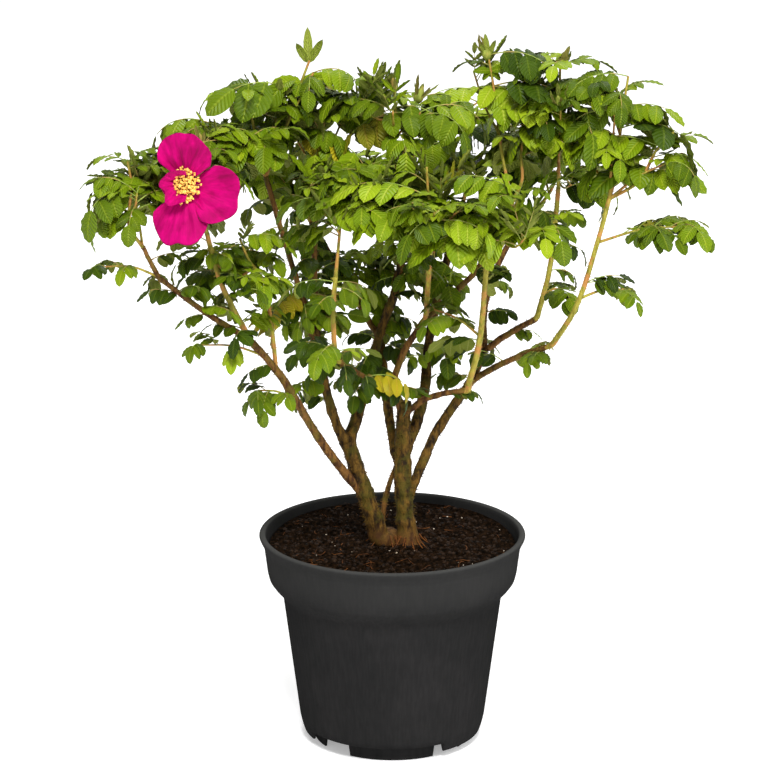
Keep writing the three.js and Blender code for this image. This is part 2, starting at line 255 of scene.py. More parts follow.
class Finish:
    # a material with a Principled shader, and the nodes that feed it
    def __init__(self, name, **sockets):
        self.material = bpy.data.materials.new(name)
        self.material.use_nodes = True
        self.tree = self.material.node_tree
        self.shader = self.tree.nodes["Principled BSDF"]
        self.place = self.node("ShaderNodeTexCoord", output="Object")
        self.set(**sockets)

    def node(self, kind, settings=None, sockets=None, output=0):
        made = self.tree.nodes.new(kind)
        for key, value in (settings or {}).items():
            setattr(made, key, value)
        for key, value in (sockets or {}).items():
            self.feed(made.inputs[key], value)
        return Link(self, made.outputs[output])

    def feed(self, socket, value):
        if isinstance(value, Link):
            self.tree.links.new(value.socket, socket)
        else:
            socket.default_value = value

    def set(self, **sockets):
        # baseColor sets the socket Base Color, and so on; specular is short for the longest name
        for key, value in sockets.items():
            spaced = "".join(" " + c if c.isupper() else c for c in key)
            spaced = "Specular IOR Level" if key == "specular" else spaced[0].upper() + spaced[1:]
            self.feed(self.shader.inputs[spaced], value)

    def noise(self, scale, detail=3.0, roughness=0.55, stretch=None):
        place = self.place
        if stretch is not None:
            place = self.node("ShaderNodeMapping", None, {"Vector": place, "Scale": stretch})
        return self.node("ShaderNodeTexNoise", None,
                         {"Vector": place, "Scale": scale, "Detail": detail, "Roughness": roughness})

    def step(self, low, high, value):
        # 0 below low, 1 above high
        return self.node("ShaderNodeMapRange", {"interpolation_type": "SMOOTHSTEP"},
                         {"Value": value, "From Min": low, "From Max": high})

    def mix(self, a, b, share):
        return self.node("ShaderNodeMix", {"data_type": "RGBA"}, {0: share, 6: a, 7: b}, output=2)

    def bump(self, height, strength, distance):
        sockets = {"Height": height, "Strength": strength, "Distance": distance * mm}
        return self.node("ShaderNodeBump", None, sockets)

    def axis(self, vector, name):
        # one of the three numbers of a vector
        return self.node("ShaderNodeSeparateXYZ", None, {"Vector": vector}, output=name)

    def letThrough(self, share, colour):
        # a share of the light passes through the surface, in that colour
        glow = self.node("ShaderNodeBsdfTranslucent", None, {"Color": colour})
        own = Link(self, self.shader.outputs[0])
        blend = self.node("ShaderNodeMixShader", None, {0: share, 1: own, 2: glow})
        self.feed(self.tree.nodes["Material Output"].inputs["Surface"], blend)


# limbs: the middle line and radius of each come from its own solid

record = frame["record"]
slotOf = {s["node"]: s["material_slot"] for s in record["subparts"]}
massNames = [n for n in slotOf if n.startswith("foliage_")]
limbNames = [n for n in slotOf if n not in massNames and n not in ("pot", "soil")]


def nodeTriangles(name):
    mesh = frame["nodes"][name].data
    mesh.calc_loop_triangles()
    place = np.empty(len(mesh.vertices) * 3, np.float32)
    mesh.vertices.foreach_get("co", place)
    corners = np.empty(len(mesh.loop_triangles) * 3, np.int32)
    mesh.loop_triangles.foreach_get("vertices", corners)
    return (place.reshape(-1, 3).astype(float) / mm)[corners.reshape(-1, 3)]


reading = {
    "cuts": 14,  # across each limb
    "span": 0.93,  # share of the limb's length that the cuts cover
    "near": 18,  # mm from the line within which a cut belongs to it
    "finePoints": 90,  # on each limb's line, for what grows from it
}


def section(tris, at, way, near):
    # where a plane cuts a solid near a point: the middle of the cut's outline, and its length over two pi
    height = (tris - at) @ way
    above = height > 0
    cut = above.any(1) & ~above.all(1)
    a, ha = tris[cut], height[cut]
    b, hb = np.roll(a, -1, 1), np.roll(ha, -1, 1)
    crosses = (ha > 0) != (hb > 0)
    share = ha / np.where(crosses, ha - hb, 1)
    ends = (a + (b - a) * share[..., None])[crosses].reshape(-1, 2, 3)
    middle, length = ends.mean(1), np.linalg.norm(ends[:, 0] - ends[:, 1], axis=1)
    keep = np.linalg.norm(middle - at, axis=1) < near
    if not keep.any():
        return at, 0.0
    length = length[keep] + 1e-9
    return (middle[keep] * length[:, None]).sum(0) / length.sum(), length.sum() / (2 * math.pi)


def limbLine(name):
    # cut a solid across its longest way, then twice more across its own line; the radius is one even taper
    count = reading["cuts"]
    tris = nodeTriangles(name)
    points = tris.reshape(-1, 3)
    mean = points.mean(0)
    axis = np.linalg.svd(points - mean, full_matrices=False)[2][0]
    axis = axis if axis[2] > 0 else -axis
    s = (points - mean) @ axis
    at = mean + axis * np.linspace(s.min() * reading["span"], s.max() * reading["span"], count)[:, None]
    line = np.array([section(tris, p, axis, 1e9)[0] for p in at])
    for _ in range(2):
        along = unit(np.gradient(line, axis=0))
        cuts = [section(tris, p, d, reading["near"]) for p, d in zip(line, along)]
        line = np.array([c[0] for c in cuts])
    radius = np.array([c[1] for c in cuts])
    fit = np.polyfit(np.linspace(0, 1, count)[2:-2], radius[2:-2], 1)
    radius = np.polyval(fit, np.linspace(0, 1, count))
    tipReach = ((points - line[-1]) @ along[-1]).max()
    footReach = ((points - line[0]) @ along[0]).min()
    line = np.concatenate([[line[0] + along[0] * footReach], line, [line[-1] + along[-1] * tipReach]])
    radius = np.concatenate([radius[:1], radius, radius[-1:]])
    return {"line": line, "radius": radius, "foot": along[0], "tip": along[-1]}


limbs = {name: limbLine(name) for name in limbNames}
print("limbs read:", len(limbs))


# finishes for the wood

def barkFinish(name, light, dark, flush, roughness, ridge):
    # colour: dark and light by long streaks, a flush by small patches, dark pores by grain
    # height: streaks, patches and grain
    f = Finish(name, specular=0.14)
    streak = f.noise(230, 5, 0.65, stretch=(1, 1, 0.3))
    patch = f.noise(75, 4, 0.6)
    grain = f.noise(1100, 3, 0.6)
    colour = f.mix(dark, light, f.step(0.38, 0.62, streak))
    colour = f.mix(colour, flush, f.step(0.46, 0.62, patch) * 0.7)
    colour = f.mix(colour, dark, f.step(0.52, 0.7, grain) * 0.5)
    height = streak * 0.6 + patch * 0.25 + grain * 0.3
    f.set(baseColor=colour, roughness=roughness + grain * 0.2, normal=f.bump(height, 1.0, ridge))
    return f


barks = {
    "old_bark": barkFinish("old bark", rgb(104, 76, 27), rgb(32, 21, 8), rgb(72, 66, 17), 0.68, 1.3),
    "cane": barkFinish("brown cane", rgb(126, 88, 42), rgb(60, 36, 18), rgb(104, 90, 34), 0.6, 0.8),
    "green_shoot": barkFinish("green shoot", rgb(160, 150, 60), rgb(118, 112, 36), rgb(186, 118, 70),
                              0.45, 0.4),
}
fibre = barks["old_bark"]  # the foot of the old stems is a fibrous orange-brown
heightAbove = fibre.axis(fibre.place, "Z")
footShare = 1 - fibre.step(0.186, 0.212, heightAbove + fibre.noise(60) * 0.02)
footShare = footShare * (0.3 + 0.6 * fibre.noise(400, 4))
plainBark = fibre.shader.inputs["Base Color"].links[0].from_socket
fibre.set(baseColor=fibre.mix(Link(fibre, plainBark), rgb(88, 54, 24), footShare))

wood = {
    "ridgeHeight": 0.8,  # mm
    "bristlesPerMm2": 0.085,
    "bristleLength": (1.0, 3.0),
    "bristleFoot": 0.42,
    "rootFlare": 0.5,
    "bareFoot": 14,  # mm above the compost without bristles
    "sweep": 15,  # mm that a limb's foot runs inside its parent
    "joinGap": 16,  # mm beyond which a limb's foot isn't led back into a parent
    "knuckleSpacing": 26,
    "knuckleWidth": 2.2,
    "ringSpacing": 1.8,
}


def barkRelief(strength, seed):
    def relief(points, angle, distance):
        # long ridges, lumps and a knuckle every inch or so
        stretched = points * np.array([1, 1, 0.3])
        away = (distance + 9 * seed) % wood["knuckleSpacing"] - wood["knuckleSpacing"] / 2
        knuckle = np.exp(-(away / wood["knuckleWidth"]) ** 2)
        ridges, swellings = lumps(stretched, 2.4, seed), lumps(points, 7, seed + 1)
        return strength * (0.8 * ridges + 0.7 * swellings + 0.7 * knuckle)
    return relief


def bristles(path, radius, count, lengths, thick):
    # straight, thin, three-sided spines that stand out from a stem, all worked out together
    along, side, up = ringFrames(path)
    i = rng.integers(1, len(path) - 1, count)
    jitter = rng.random(count)[:, None] - 0.5
    at = path[i] + (path[i + 1] - path[i - 1]) * jitter * 0.5
    angle = rng.random(count) * 2 * math.pi
    out = np.cos(angle)[:, None] * side[i] + np.sin(angle)[:, None] * up[i]
    lean = unit(out + along[i] * rng.normal(-0.1, 0.25, (count, 1)))
    across = np.cross(out, along[i])
    r = radius[i][:, None]
    root = at + out * (r - 0.5)
    turn = ringAngles(3)
    c, s = np.cos(turn)[None, :, None], np.sin(turn)[None, :, None]
    base = root[:, None] + thick * (c * across[:, None] + s * along[i][:, None])
    tip = root + lean * (0.5 + rng.uniform(*lengths, (count, 1)))
    points = np.concatenate([base, tip[:, None]], 1).reshape(-1, 3)
    return points, repeatFaces(np.array([[1, 0, 3], [2, 1, 3], [0, 2, 3], [0, 1, 2]]), count)


stems = {kind: Batch() for kind in barks}
spines = {kind: Batch() for kind in barks}
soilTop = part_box("soil")[1].z / mm
fineLines = {name: curve(limb["line"], reading["finePoints"]) for name, limb in limbs.items()}


def grownFrom(name):
    # the limb that this one springs from, and the place on it that is nearest to this one's foot
    foot = limbs[name]["line"][0]
    gaps = {other: np.linalg.norm(line - foot, axis=1) for other, line in fineLines.items() if other != name}
    parent = min(gaps, key=lambda other: gaps[other].min())
    return parent, int(gaps[parent].argmin()), gaps[parent].min()


def backFrom(name, line, radius, length):
    # carry a limb's foot straight back by a length
    foot = line[0] - limbs[name]["foot"] * length
    return np.concatenate([[foot], line]), np.concatenate([radius[:1], radius])


def footPath(name, line, radius):
    # start inside the parent, a little way back along it, and sweep out into this limb
    parent, i, gap = grownFrom(name)
    if gap > wood["joinGap"]:
        return backFrom(name, line, radius, 6)
    fine, taper = fineLines[parent], limbs[parent]["radius"]
    thick = np.interp(i / (reading["finePoints"] - 1), np.linspace(0, 1, len(taper)), taper)
    spacing = np.linalg.norm(fine[1] - fine[0])
    back = max(0, i - int(wood["sweep"] / spacing))
    onward = fine[i] * 0.5 + line[1] * 0.5
    start = np.array([fine[back], fine[(back + i) // 2] * 0.8 + onward * 0.2, onward])
    joined = min(thick * 0.9, radius[0] * 1.25)
    return np.concatenate([start, line[2:]]), np.concatenate([[joined, joined, radius[0] * 1.08], radius[2:]])


for seed, (name, limb) in enumerate(limbs.items()):
    kind = slotOf[name]
    line, radius = limb["line"], limb["radius"]
    rooted = line[0][2] < soilTop + 4
    if rooted:
        line, radius = backFrom(name, line, radius, 9)
    else:
        line, radius = footPath(name, line, radius)
    length = pathLength(line)
    count = int(length / wood["ringSpacing"]) + 4
    path = curve(line, count)
    r = np.interp(np.linspace(0, 1, count), np.linspace(0, 1, len(radius)), radius)
    if rooted:
        r = r * (1 + wood["rootFlare"] * np.exp(-(path[:, 2] - soilTop + 4).clip(0) / 9))
    strength = wood["ridgeHeight"] * {"old_bark": 1.0, "cane": 0.6, "green_shoot": 0.3}[kind]
    strength *= np.clip(r.mean() / 5, 0.35, 1.3)
    stems[kind].add(*tube(path, r, 20 if r.mean() > 4 else 12, barkRelief(strength, seed)))
    bristleCount = int(2 * math.pi * r.mean() * length * wood["bristlesPerMm2"])
    clear = path[:, 2] > soilTop + wood["bareFoot"]
    if clear.sum() > 6:
        points, faces = bristles(path[clear], r[clear], bristleCount, wood["bristleLength"],
                                 wood["bristleFoot"])
        spines[kind].add(points, tris=faces)


# the crown: shoots grow on from the limbs, and leaves along the shoots

crown = {
    "litresPerShoot": 0.07,
    "leafSpacing": 12.5,  # mm along a shoot
    "leafTurn": 144,  # degrees from one leaf to the next
    "ribPoints": 9,
    "leafLength": 66,  # stalk and rib of a full-grown leaf
    "leafletLength": 31,
    "leafletWidth": 0.64,  # share of its length
    "stalk": 0.2,  # share of a leaf that is bare
    "overhang": 5,  # mm that a leaf may reach past the crown's solids
    "overhangShare": 0.7,  # share of a leaf that has to keep to that, and the rest to three times as much
    "sprayHalf": 24,  # mm: a smaller solid than this gets a single spray
    "sprayMargin": (3, 26, 7),  # mm that a spray's leaves may pass their solid's box
    "shootRadius": (1.7, 1.0),
    "twigRadius": (1.3, 0.7),
    "above": 4,  # mm that a leaf may stand above its own solid
    "upright": 0.3,  # share of the shoots that end in young leaves that still stand up
    "thinned": {  # the number of shoots is divided by this
        "foliage_right_heart": 4.0, "foliage_back_right": 2.2, "foliage_back_centre": 2.0,
        "foliage_back_middle": 1.6, "foliage_back_left": 1.8, "foliage_right_side": 1.6,
        "foliage_low_middle": 1.3, "foliage_low_centre": 1.2, "foliage_left_shoulder": 1.2,
        "foliage_right_shoulder": 1.1,
    },
}
massTris = {name: nodeTriangles(name) for name in massNames}
massSpan = {name: (t.reshape(-1, 3).min(0), t.reshape(-1, 3).max(0)) for name, t in massTris.items()}
crownLow = np.min([low for low, _ in massSpan.values()], axis=0) - crown["overhang"]
crownHigh = np.max([high for _, high in massSpan.values()], axis=0) + crown["overhang"]


def solidTree(tris):
    points = tris.reshape(-1, 3)
    return BVHTree.FromPolygons(points.tolist(), np.arange(len(points)).reshape(-1, 3).tolist())


crownTree = solidTree(np.concatenate(list(massTris.values())))
massTree = {name: solidTree(t) for name, t in massTris.items()}


def outside(tree, point):
    # distance outside a solid, negative inside
    at, normal, _, distance = tree.find_nearest(Vector(point))
    return distance if (Vector(point) - at).dot(normal) > 0 else -distance


blossom = {
    "at": np.array([-157.0, -112.0, 510.0]),
    "faces": unit(np.array([-0.24, -0.94, 0.2])),
    "clear": 47,  # mm round it without leaves
    "reach": (-14, 90),  # mm behind it and before it
}


def hitsFlower(point):
    away = point - blossom["at"]
    ahead = away @ blossom["faces"]
    aside = np.linalg.norm(away - blossom["faces"] * ahead)
    behind, before = blossom["reach"]
    return behind < ahead < before and aside < blossom["clear"] * (0.8 if ahead < 0 else 0.95)


twigs = Batch()
ribs = Batch()
leaflets = []  # one row each: where it starts, its way, its upper side, length, width, curl, fold, tint
shootTips = {}
tintNames = ["deep", "mid", "fresh", "bright", "bronze", "yellowed", "young"]


def leafShape(base, heading, lift, droop, length, pairs, leafletLength, tint,
              roll=0.0, spread=60, hang=0.3, fold=0.28, curl=0.95, slim=1.0):
    # a leaf of paired leaflets: its rib leaves at an angle, lift, and bends down by droop towards its tip
    t = np.linspace(0, 1, crown["ribPoints"])
    rise = lift - droop * t**1.3
    turn = heading + 0.18 * roll * t
    level = np.stack([np.cos(turn), np.sin(turn), turn * 0], 1)
    upright = np.array([0, 0, 1.0])
    along = np.cos(rise)[:, None] * level + np.sin(rise)[:, None] * upright
    rib = base + np.concatenate([np.zeros((1, 3)), np.cumsum(along[:-1], 0)]) * length / (len(t) - 1)
    return {"rib": rib, "along": along, "pairs": pairs, "size": leafletLength, "tint": tint, "roll": roll,
            "spread": math.radians(spread), "hang": hang, "fold": fold, "curl": curl, "slim": slim}


def leafletRows(leaf):
    # the leaflets of one leaf as rows
    rows = []
    stalk, places = crown["stalk"], np.linspace(0, 1, crown["ribPoints"])
    ends = [(1.0, 0)] + [(stalk + (1 - stalk) * (k + 0.35) / (leaf["pairs"] + 0.25), side)
                         for k in range(leaf["pairs"]) for side in (-1, 1)]
    for t, side in ends:
        at = np.array([np.interp(t, places, leaf["rib"][:, k]) for k in range(3)])
        along = unit(np.array([np.interp(t, places, leaf["along"][:, k]) for k in range(3)]))
        up = unit(np.array([0, 0, 1.0]) - along * along[2])
        across = np.cross(along, up)
        c, s = math.cos(leaf["roll"]), math.sin(leaf["roll"])
        up, across = up * c + across * s, across * c - up * s
        spread = leaf["spread"] * rng.uniform(0.85, 1.12) * (0 if side == 0 else 1)
        hang = leaf["hang"] * rng.uniform(0.6, 1.4)
        outward = across * side * math.cos(hang) - up * math.sin(hang)
        way = unit(along * math.cos(spread) + outward * math.sin(spread) + rng.normal(0, 0.05, 3))
        face = up + across * side * 0.45 * math.sin(hang) + rng.normal(0, 0.12, 3)
        face = unit(face - way * (face @ way))
        share = 1.08 if side == 0 else 0.78 + 0.25 * math.sin(math.pi * min(1, t * 0.95))
        size = leaf["size"] * share * rng.uniform(0.9, 1.08)
        width = size * crown["leafletWidth"] * leaf["slim"] * rng.uniform(0.9, 1.08)
        curl, fold = leaf["curl"] * rng.uniform(0.4, 1.5), leaf["fold"] * rng.uniform(0.5, 1.5)
        rows.append((at, way, face, size, width, curl, fold, leaf["tint"]))
    return rows


def keepLeaf(leaf, within, loose):
    # put it in the crown if its leaflets keep to the crown's solids, or only to the box when loose
    # none may hit the flower
    rows = leafletRows(leaf)
    tips = np.array([r[0] + r[1] * r[3] * 0.9 for r in rows])
    if (tips < within[0]).any() or (tips > within[1]).any():
        return False
    if not loose:
        over = np.array([outside(crownTree, p) for p in tips])
        kept = np.mean(over < crown["overhang"])
        if kept < crown["overhangShare"] or over.max() > crown["overhang"] * 3:
            return False
    if any(hitsFlower(p) for p in tips) or any(hitsFlower(r[0]) for r in rows):
        return False
    leaflets.extend(rows)
    radius = np.linspace(0.62, 0.32, crown["ribPoints"]) * math.sqrt(leaf["size"] / 28)
    ribs.add(*tube(leaf["rib"], radius, 5))
    return True


def tryLeaf(base, heading, lift, droop, pairs, size, tint, within, loose=False, **more):
    # a leaf that doesn't fit is made smaller, then turned aside
    for turn in (0, 0.5, -0.5, 1.0, -1.0, 1.6, -1.6):
        for scale in (1.0, 0.86, 0.74):
            length = crown["leafLength"] * size * scale * (0.5 + 0.14 * pairs)
            leafletLength = crown["leafletLength"] * size * scale
            leaf = leafShape(base, heading + turn, lift, droop, length, pairs, leafletLength, tint, **more)
            if keepLeaf(leaf, within, loose):
                return True
    return False


def pickTint(mass, young=False):
    # young leaves are bright, low and inner ones deep; the odd one is turning
    bright = slotOf[mass] == "bright_leaf"
    deep = 0.9 if "back" in mass or "low" in mass else 0.35
    weights = np.array([deep * 0.5, 1.0, 0.8 + 0.3 * bright, 0.18 + 0.75 * bright, 0.05, 0.03])
    if young:
        weights = np.array([0.0, 0.35, 1.0, 0.9, 0.12, 0.0])
    return int(rng.choice(6, p=weights / weights.sum()))


def leafyShoot(mass, path, radii, size, bare=0.35):
    # a thin stem with a leaf at each turn of the spiral, and young folded leaves at its tip
    length = pathLength(path)
    count = max(8, int(length / 5))
    line = curve(path, count)
    taper = (radii[0], (radii[0] + radii[1]) / 2, radii[1])
    twigs.add(*tube(line, np.interp(np.linspace(0, 1, count), (0, 0.2, 1), taper), 7))
    along = unit(np.gradient(line, axis=0))
    heading = anyTurn()
    shootTint = pickTint(mass)
    within = (crownLow, np.append(crownHigh[:2], massTris[mass][..., 2].max() + crown["above"]))
    steps = max(2, int(length * (1 - bare) / crown["leafSpacing"]))
    for k in range(steps):
        share = 1 - k / steps * (1 - bare)
        i = min(count - 1, int(share * (count - 1)))
        heading += math.radians(crown["leafTurn"]) + rng.normal(0, 0.2)
        high = 1 - k / steps
        tint = shootTint if rng.random() < 0.65 else pickTint(mass)
        grown = size * (0.72 + 0.34 * min(1, k / 2 + 0.3)) * rng.uniform(0.88, 1.1)
        lift, droop = 0.25 + 0.5 * high * rng.random(), rng.uniform(0.7, 1.35)
        pairs = int(rng.choice([2, 3, 3, 4, 4]))
        tryLeaf(line[i], heading, lift, droop, pairs, grown, tint, within,
                roll=rng.normal(0, 0.25), hang=rng.uniform(0.05, 0.6))
    tip, way = line[-1], along[-1]
    side = math.atan2(way[1], way[0]) + rng.normal(0, 0.6)
    upright = rng.random() < crown["upright"]
    if upright:
        habit = {"spread": 46, "hang": -0.1, "fold": 0.9, "curl": -0.15, "slim": 0.6}
    else:
        habit = {"spread": 55, "hang": -0.1, "fold": 0.45, "curl": 0.7, "slim": 0.9}
    for k in range(4):
        lift = rng.uniform(0.9, 1.3) if upright else rng.uniform(0.3, 0.9)
        droop = 0.2 if upright else rng.uniform(0.7, 1.1)
        pairs, grown = int(rng.choice([2, 3])), size * rng.uniform(0.5, 0.72)
        tint = pickTint(mass, young=True)
        tryLeaf(tip - way * 3 * k, side + k * 1.7, lift, droop, pairs, grown, tint, within, **habit)
    shootTips.setdefault(mass, []).append((tip, way))


def handLeaf(tip, lower, way, size):
    # a young leaf that still stands upright, its leaflets held like fingers
    # the ones that lean out furthest start lower down and have already spread
    fingers = ((-0.5, 25, -0.7), (-0.08, 31, 0.1), (0.4, 27, -0.6),  # lean, length and curl
               (-1.42, 25, 0.5), (1.3, 29, 0.7), (2.2, 20, 0.8), (-2.2, 18, 0.8))
    right, ahead = np.array([1.0, 0.1, 0]), np.array([0.05, -1.0, 0])
    for lean, length, curl in fingers:
        spread = abs(lean) > 1
        blade = unit(way * math.cos(lean) + right * math.sin(lean) + ahead * 0.16)
        face = unit(ahead - blade * (ahead @ blade) + way * (0.9 if spread else 0))
        face = unit(face - blade * (face @ blade))
        root = lower if spread else tip + right * 2.4 * size * lean
        width = length * size * (0.5 if spread else 0.27)
        tint = tintNames.index("fresh" if spread else "young")
        leaflets.append((root, blade, face, length * size, width, curl, 0.4, tint))


allLines = [(n, p, i / (len(l["line"]) - 1)) for n, l in limbs.items() for i, p in enumerate(l["line"])]
linePoints = np.array([a[1] for a in allLines])


def nearestLimb(point):
    # the limb point to grow from: near, and not above
    cost = np.linalg.norm(linePoints - point, axis=1) + 1.2 * (linePoints[:, 2] - point[2] + 4).clip(0)
    return int(np.argmin(cost))


def addTwig(start, end, count):
    # a thin stem that rises a little on its way
    stem = curve([start, start * 0.5 + end * 0.5 + [0, 0, 4], end], count)
    twigs.add(*tube(stem, np.linspace(*crown["twigRadius"], count), 6))
    return stem


for mass in massNames:
    lo, hi = massSpan[mass]
    middle, half = (lo + hi) / 2, (hi - lo) / 2
    litres = 4 / 3 * math.pi * half.prod() / 1e6
    feeders = [l for l in limbs.values() if outside(massTree[mass], l["line"][-1]) < 6]
    if half[2] < crown["sprayHalf"]:  # a spray of a few leaves along the solid's length
        start = linePoints[nearestLimb(middle)]
        reachOut = middle - start
        heading = math.atan2(reachOut[1], reachOut[0])
        far = middle + np.array([math.copysign(half[0] * 0.55, reachOut[0]), 0, half[2] * 0.55])
        stem = addTwig(start, far, 12)
        number = int(np.clip(litres / (0.0035 if mass == "foliage_lower_left_spray" else 0.006), 3, 9))
        margin = np.array(crown["sprayMargin"])
        within = (lo - margin, hi + margin * [1, 1, 2])
        for k in range(number):
            at = stem[int(np.clip(11 - k * 9 / number, 2, 11))]
            turn = 0 if k == 0 else (-1) ** k * rng.uniform(0.6, 1.3)
            lift, droop, grown = rng.uniform(0.1, 0.5), rng.uniform(0.5, 1.0), rng.uniform(0.5, 0.66)
            tryLeaf(at, heading + turn, lift, droop, 3, grown, pickTint(mass), within,
                    loose=True, hang=rng.uniform(0.0, 0.5))
        continue
    shoots = int(np.clip(round(litres / crown["litresPerShoot"] / crown["thinned"].get(mass, 1)), 1, 6))
    if feeders:
        start, way = feeders[0]["line"][-1], feeders[0]["tip"]
    else:
        start = linePoints[nearestLimb(middle - [0, 0, half[2] * 0.5])]
        way = unit(middle - start)
    top = middle + half * np.array([0, 0, 0.3 if mass == "foliage_top_sprig" else 0.62])
    reach = np.linalg.norm(top - start)
    leader = np.array([start, start + way * reach * 0.35, (start + top) / 2 * 0.5 + top * 0.5, top])
    size = 0.78 if "low" in mass or "inner" in mass else 1.0
    thick, thin = crown["shootRadius"]
    if feeders:
        thick = max(thick, feeders[0]["radius"][-1] * 0.92)
    leafyShoot(mass, leader, (thick, thin), size, bare=0.3)
    line = curve(leader, 20)
    if mass == "foliage_top_sprig":
        handLeaf(line[-2], line[-5], np.array([0.06, 0, 0.998]), 1.0)
    if mass == "foliage_right_peak":
        handLeaf(line[-1], line[-3], np.array([-0.08, 0, 0.997]), 0.62)
    for k in range(1, shoots):
        angle = k * 2.4 + rng.uniform(-0.3, 0.3)
        rise = rng.uniform(-0.25, 0.55)
        target = middle + half * np.array([math.cos(angle) * 0.62, math.sin(angle) * 0.62, rise])
        at = line[int(rng.integers(4, 13))]
        bend = (at + target) / 2 + np.array([0, 0, -6.0])
        leafyShoot(mass, np.array([at, bend, target]), (1.3, 0.8), size * 0.95, bare=0.25)


outerLeaves = {  # leaves that droop past the end of a mass: where their twig ends, then each heading and size
    "foliage_far_right": ((-0.1, -0.2, 0.05), ((0.0, 0.85), (-0.8, 0.8), (0.6, 0.8))),
    "foliage_left_shoulder": ((-0.5, -0.2, 0.1), ((3.1, 0.9), (-2.5, 0.8))),
    "foliage_far_left": ((0.1, -0.2, 0.2), ((3.1, 0.8), (-2.4, 0.8), (2.4, 0.7), (-1.7, 0.8), (3.5, 0.7))),
    "foliage_right_shoulder": ((-0.35, -0.2, 0.35), ((2.9, 0.7), (-1.5, 0.62), (1.5, 0.65))),
    "foliage_right_peak": ((-0.3, -0.2, -0.25), ((3.0, 0.95), (-2.4, 0.8), (2.5, 0.7))),
    "foliage_top_middle": ((0.5, -0.3, 0.25), ((0.1, 0.9), (-0.6, 0.8))),
    "foliage_top_sprig": ((0.1, -0.2, -0.1), ((-0.3, 0.7), (-1.6, 0.6), (2.8, 0.6), (0.5, 0.6))),
}
for mass, (share, fans) in outerLeaves.items():
    lo, hi = massSpan[mass]
    at = (lo + hi) / 2 + (hi - lo) / 2 * np.array(share)
    stem = addTwig(linePoints[nearestLimb(at)], at, 24)
    spacing = np.linalg.norm(stem[1] - stem[0])
    for k, (heading, size) in enumerate(fans):
        base = stem[max(0, len(stem) - 1 - int(7 * k / spacing))]  # 7 mm further down the twig each time
        tint = tintNames.index("mid" if k % 2 else "fresh")
        tryLeaf(base, heading, 0.4, 1.5, 3, size, tint, (crownLow + 4, crownHigh - 9), loose=True, hang=0.4)


stemLeaves = {
    "spacing": 7,  # mm
    "lowest": 304,
    "size": (0.36, 0.62),
    "leftShare": 0.62,  # of the places that bear a leaf, left of the middle and right of it
    "rightShare": 0.2,
    "clear": 12,  # mm by which a leaf keeps off the crown's box
    "bare": {"outer_left_cane": 0.22, "left_cane_end": 0.3, "far_left_shoot": 0.5},  # share of those kept
}
for name, line in fineLines.items():  # small leaves on the limbs themselves, below the dense crown
    length = pathLength(line)
    heading = anyTurn()
    thick = limbs[name]["radius"].mean() > 4.4
    for k in range(int(length / stemLeaves["spacing"])):
        at = line[int(rng.uniform(2, reading["finePoints"] - 2))]
        heading += math.radians(crown["leafTurn"])
        share = stemLeaves["leftShare"] if at[0] < 8 else stemLeaves["rightShare"]
        share *= stemLeaves["bare"].get(name, 1)
        if at[2] < stemLeaves["lowest"] + (22 if thick else 0) or rng.random() > share:
            continue
        grown = rng.uniform(*stemLeaves["size"])
        tint = int(rng.choice(6, p=(0.36, 0.38, 0.18, 0.05, 0.01, 0.02)))
        lift, droop, pairs = rng.uniform(-0.1, 0.7), rng.uniform(0.5, 1.2), int(rng.choice([2, 3, 3]))
        leaf = leafShape(at, heading, lift, droop, 58 * grown, pairs, crown["leafletLength"] * grown, tint,
                         roll=rng.normal(0, 0.3), hang=rng.uniform(0.1, 0.7))
        rows = leafletRows(leaf)
        tips = np.array([r[0] + r[1] * r[3] for r in rows])
        if any(hitsFlower(p) for p in tips) or (tips < crownLow + stemLeaves["clear"])[:, :2].any():
            continue
        if not (tips > crownHigh - stemLeaves["clear"]).any():
            leaflets.extend(rows)
            ribs.add(*tube(leaf["rib"], np.linspace(0.55, 0.3, crown["ribPoints"]), 5))
print("leaflets:", len(leaflets), "shoot points:", twigs.count)


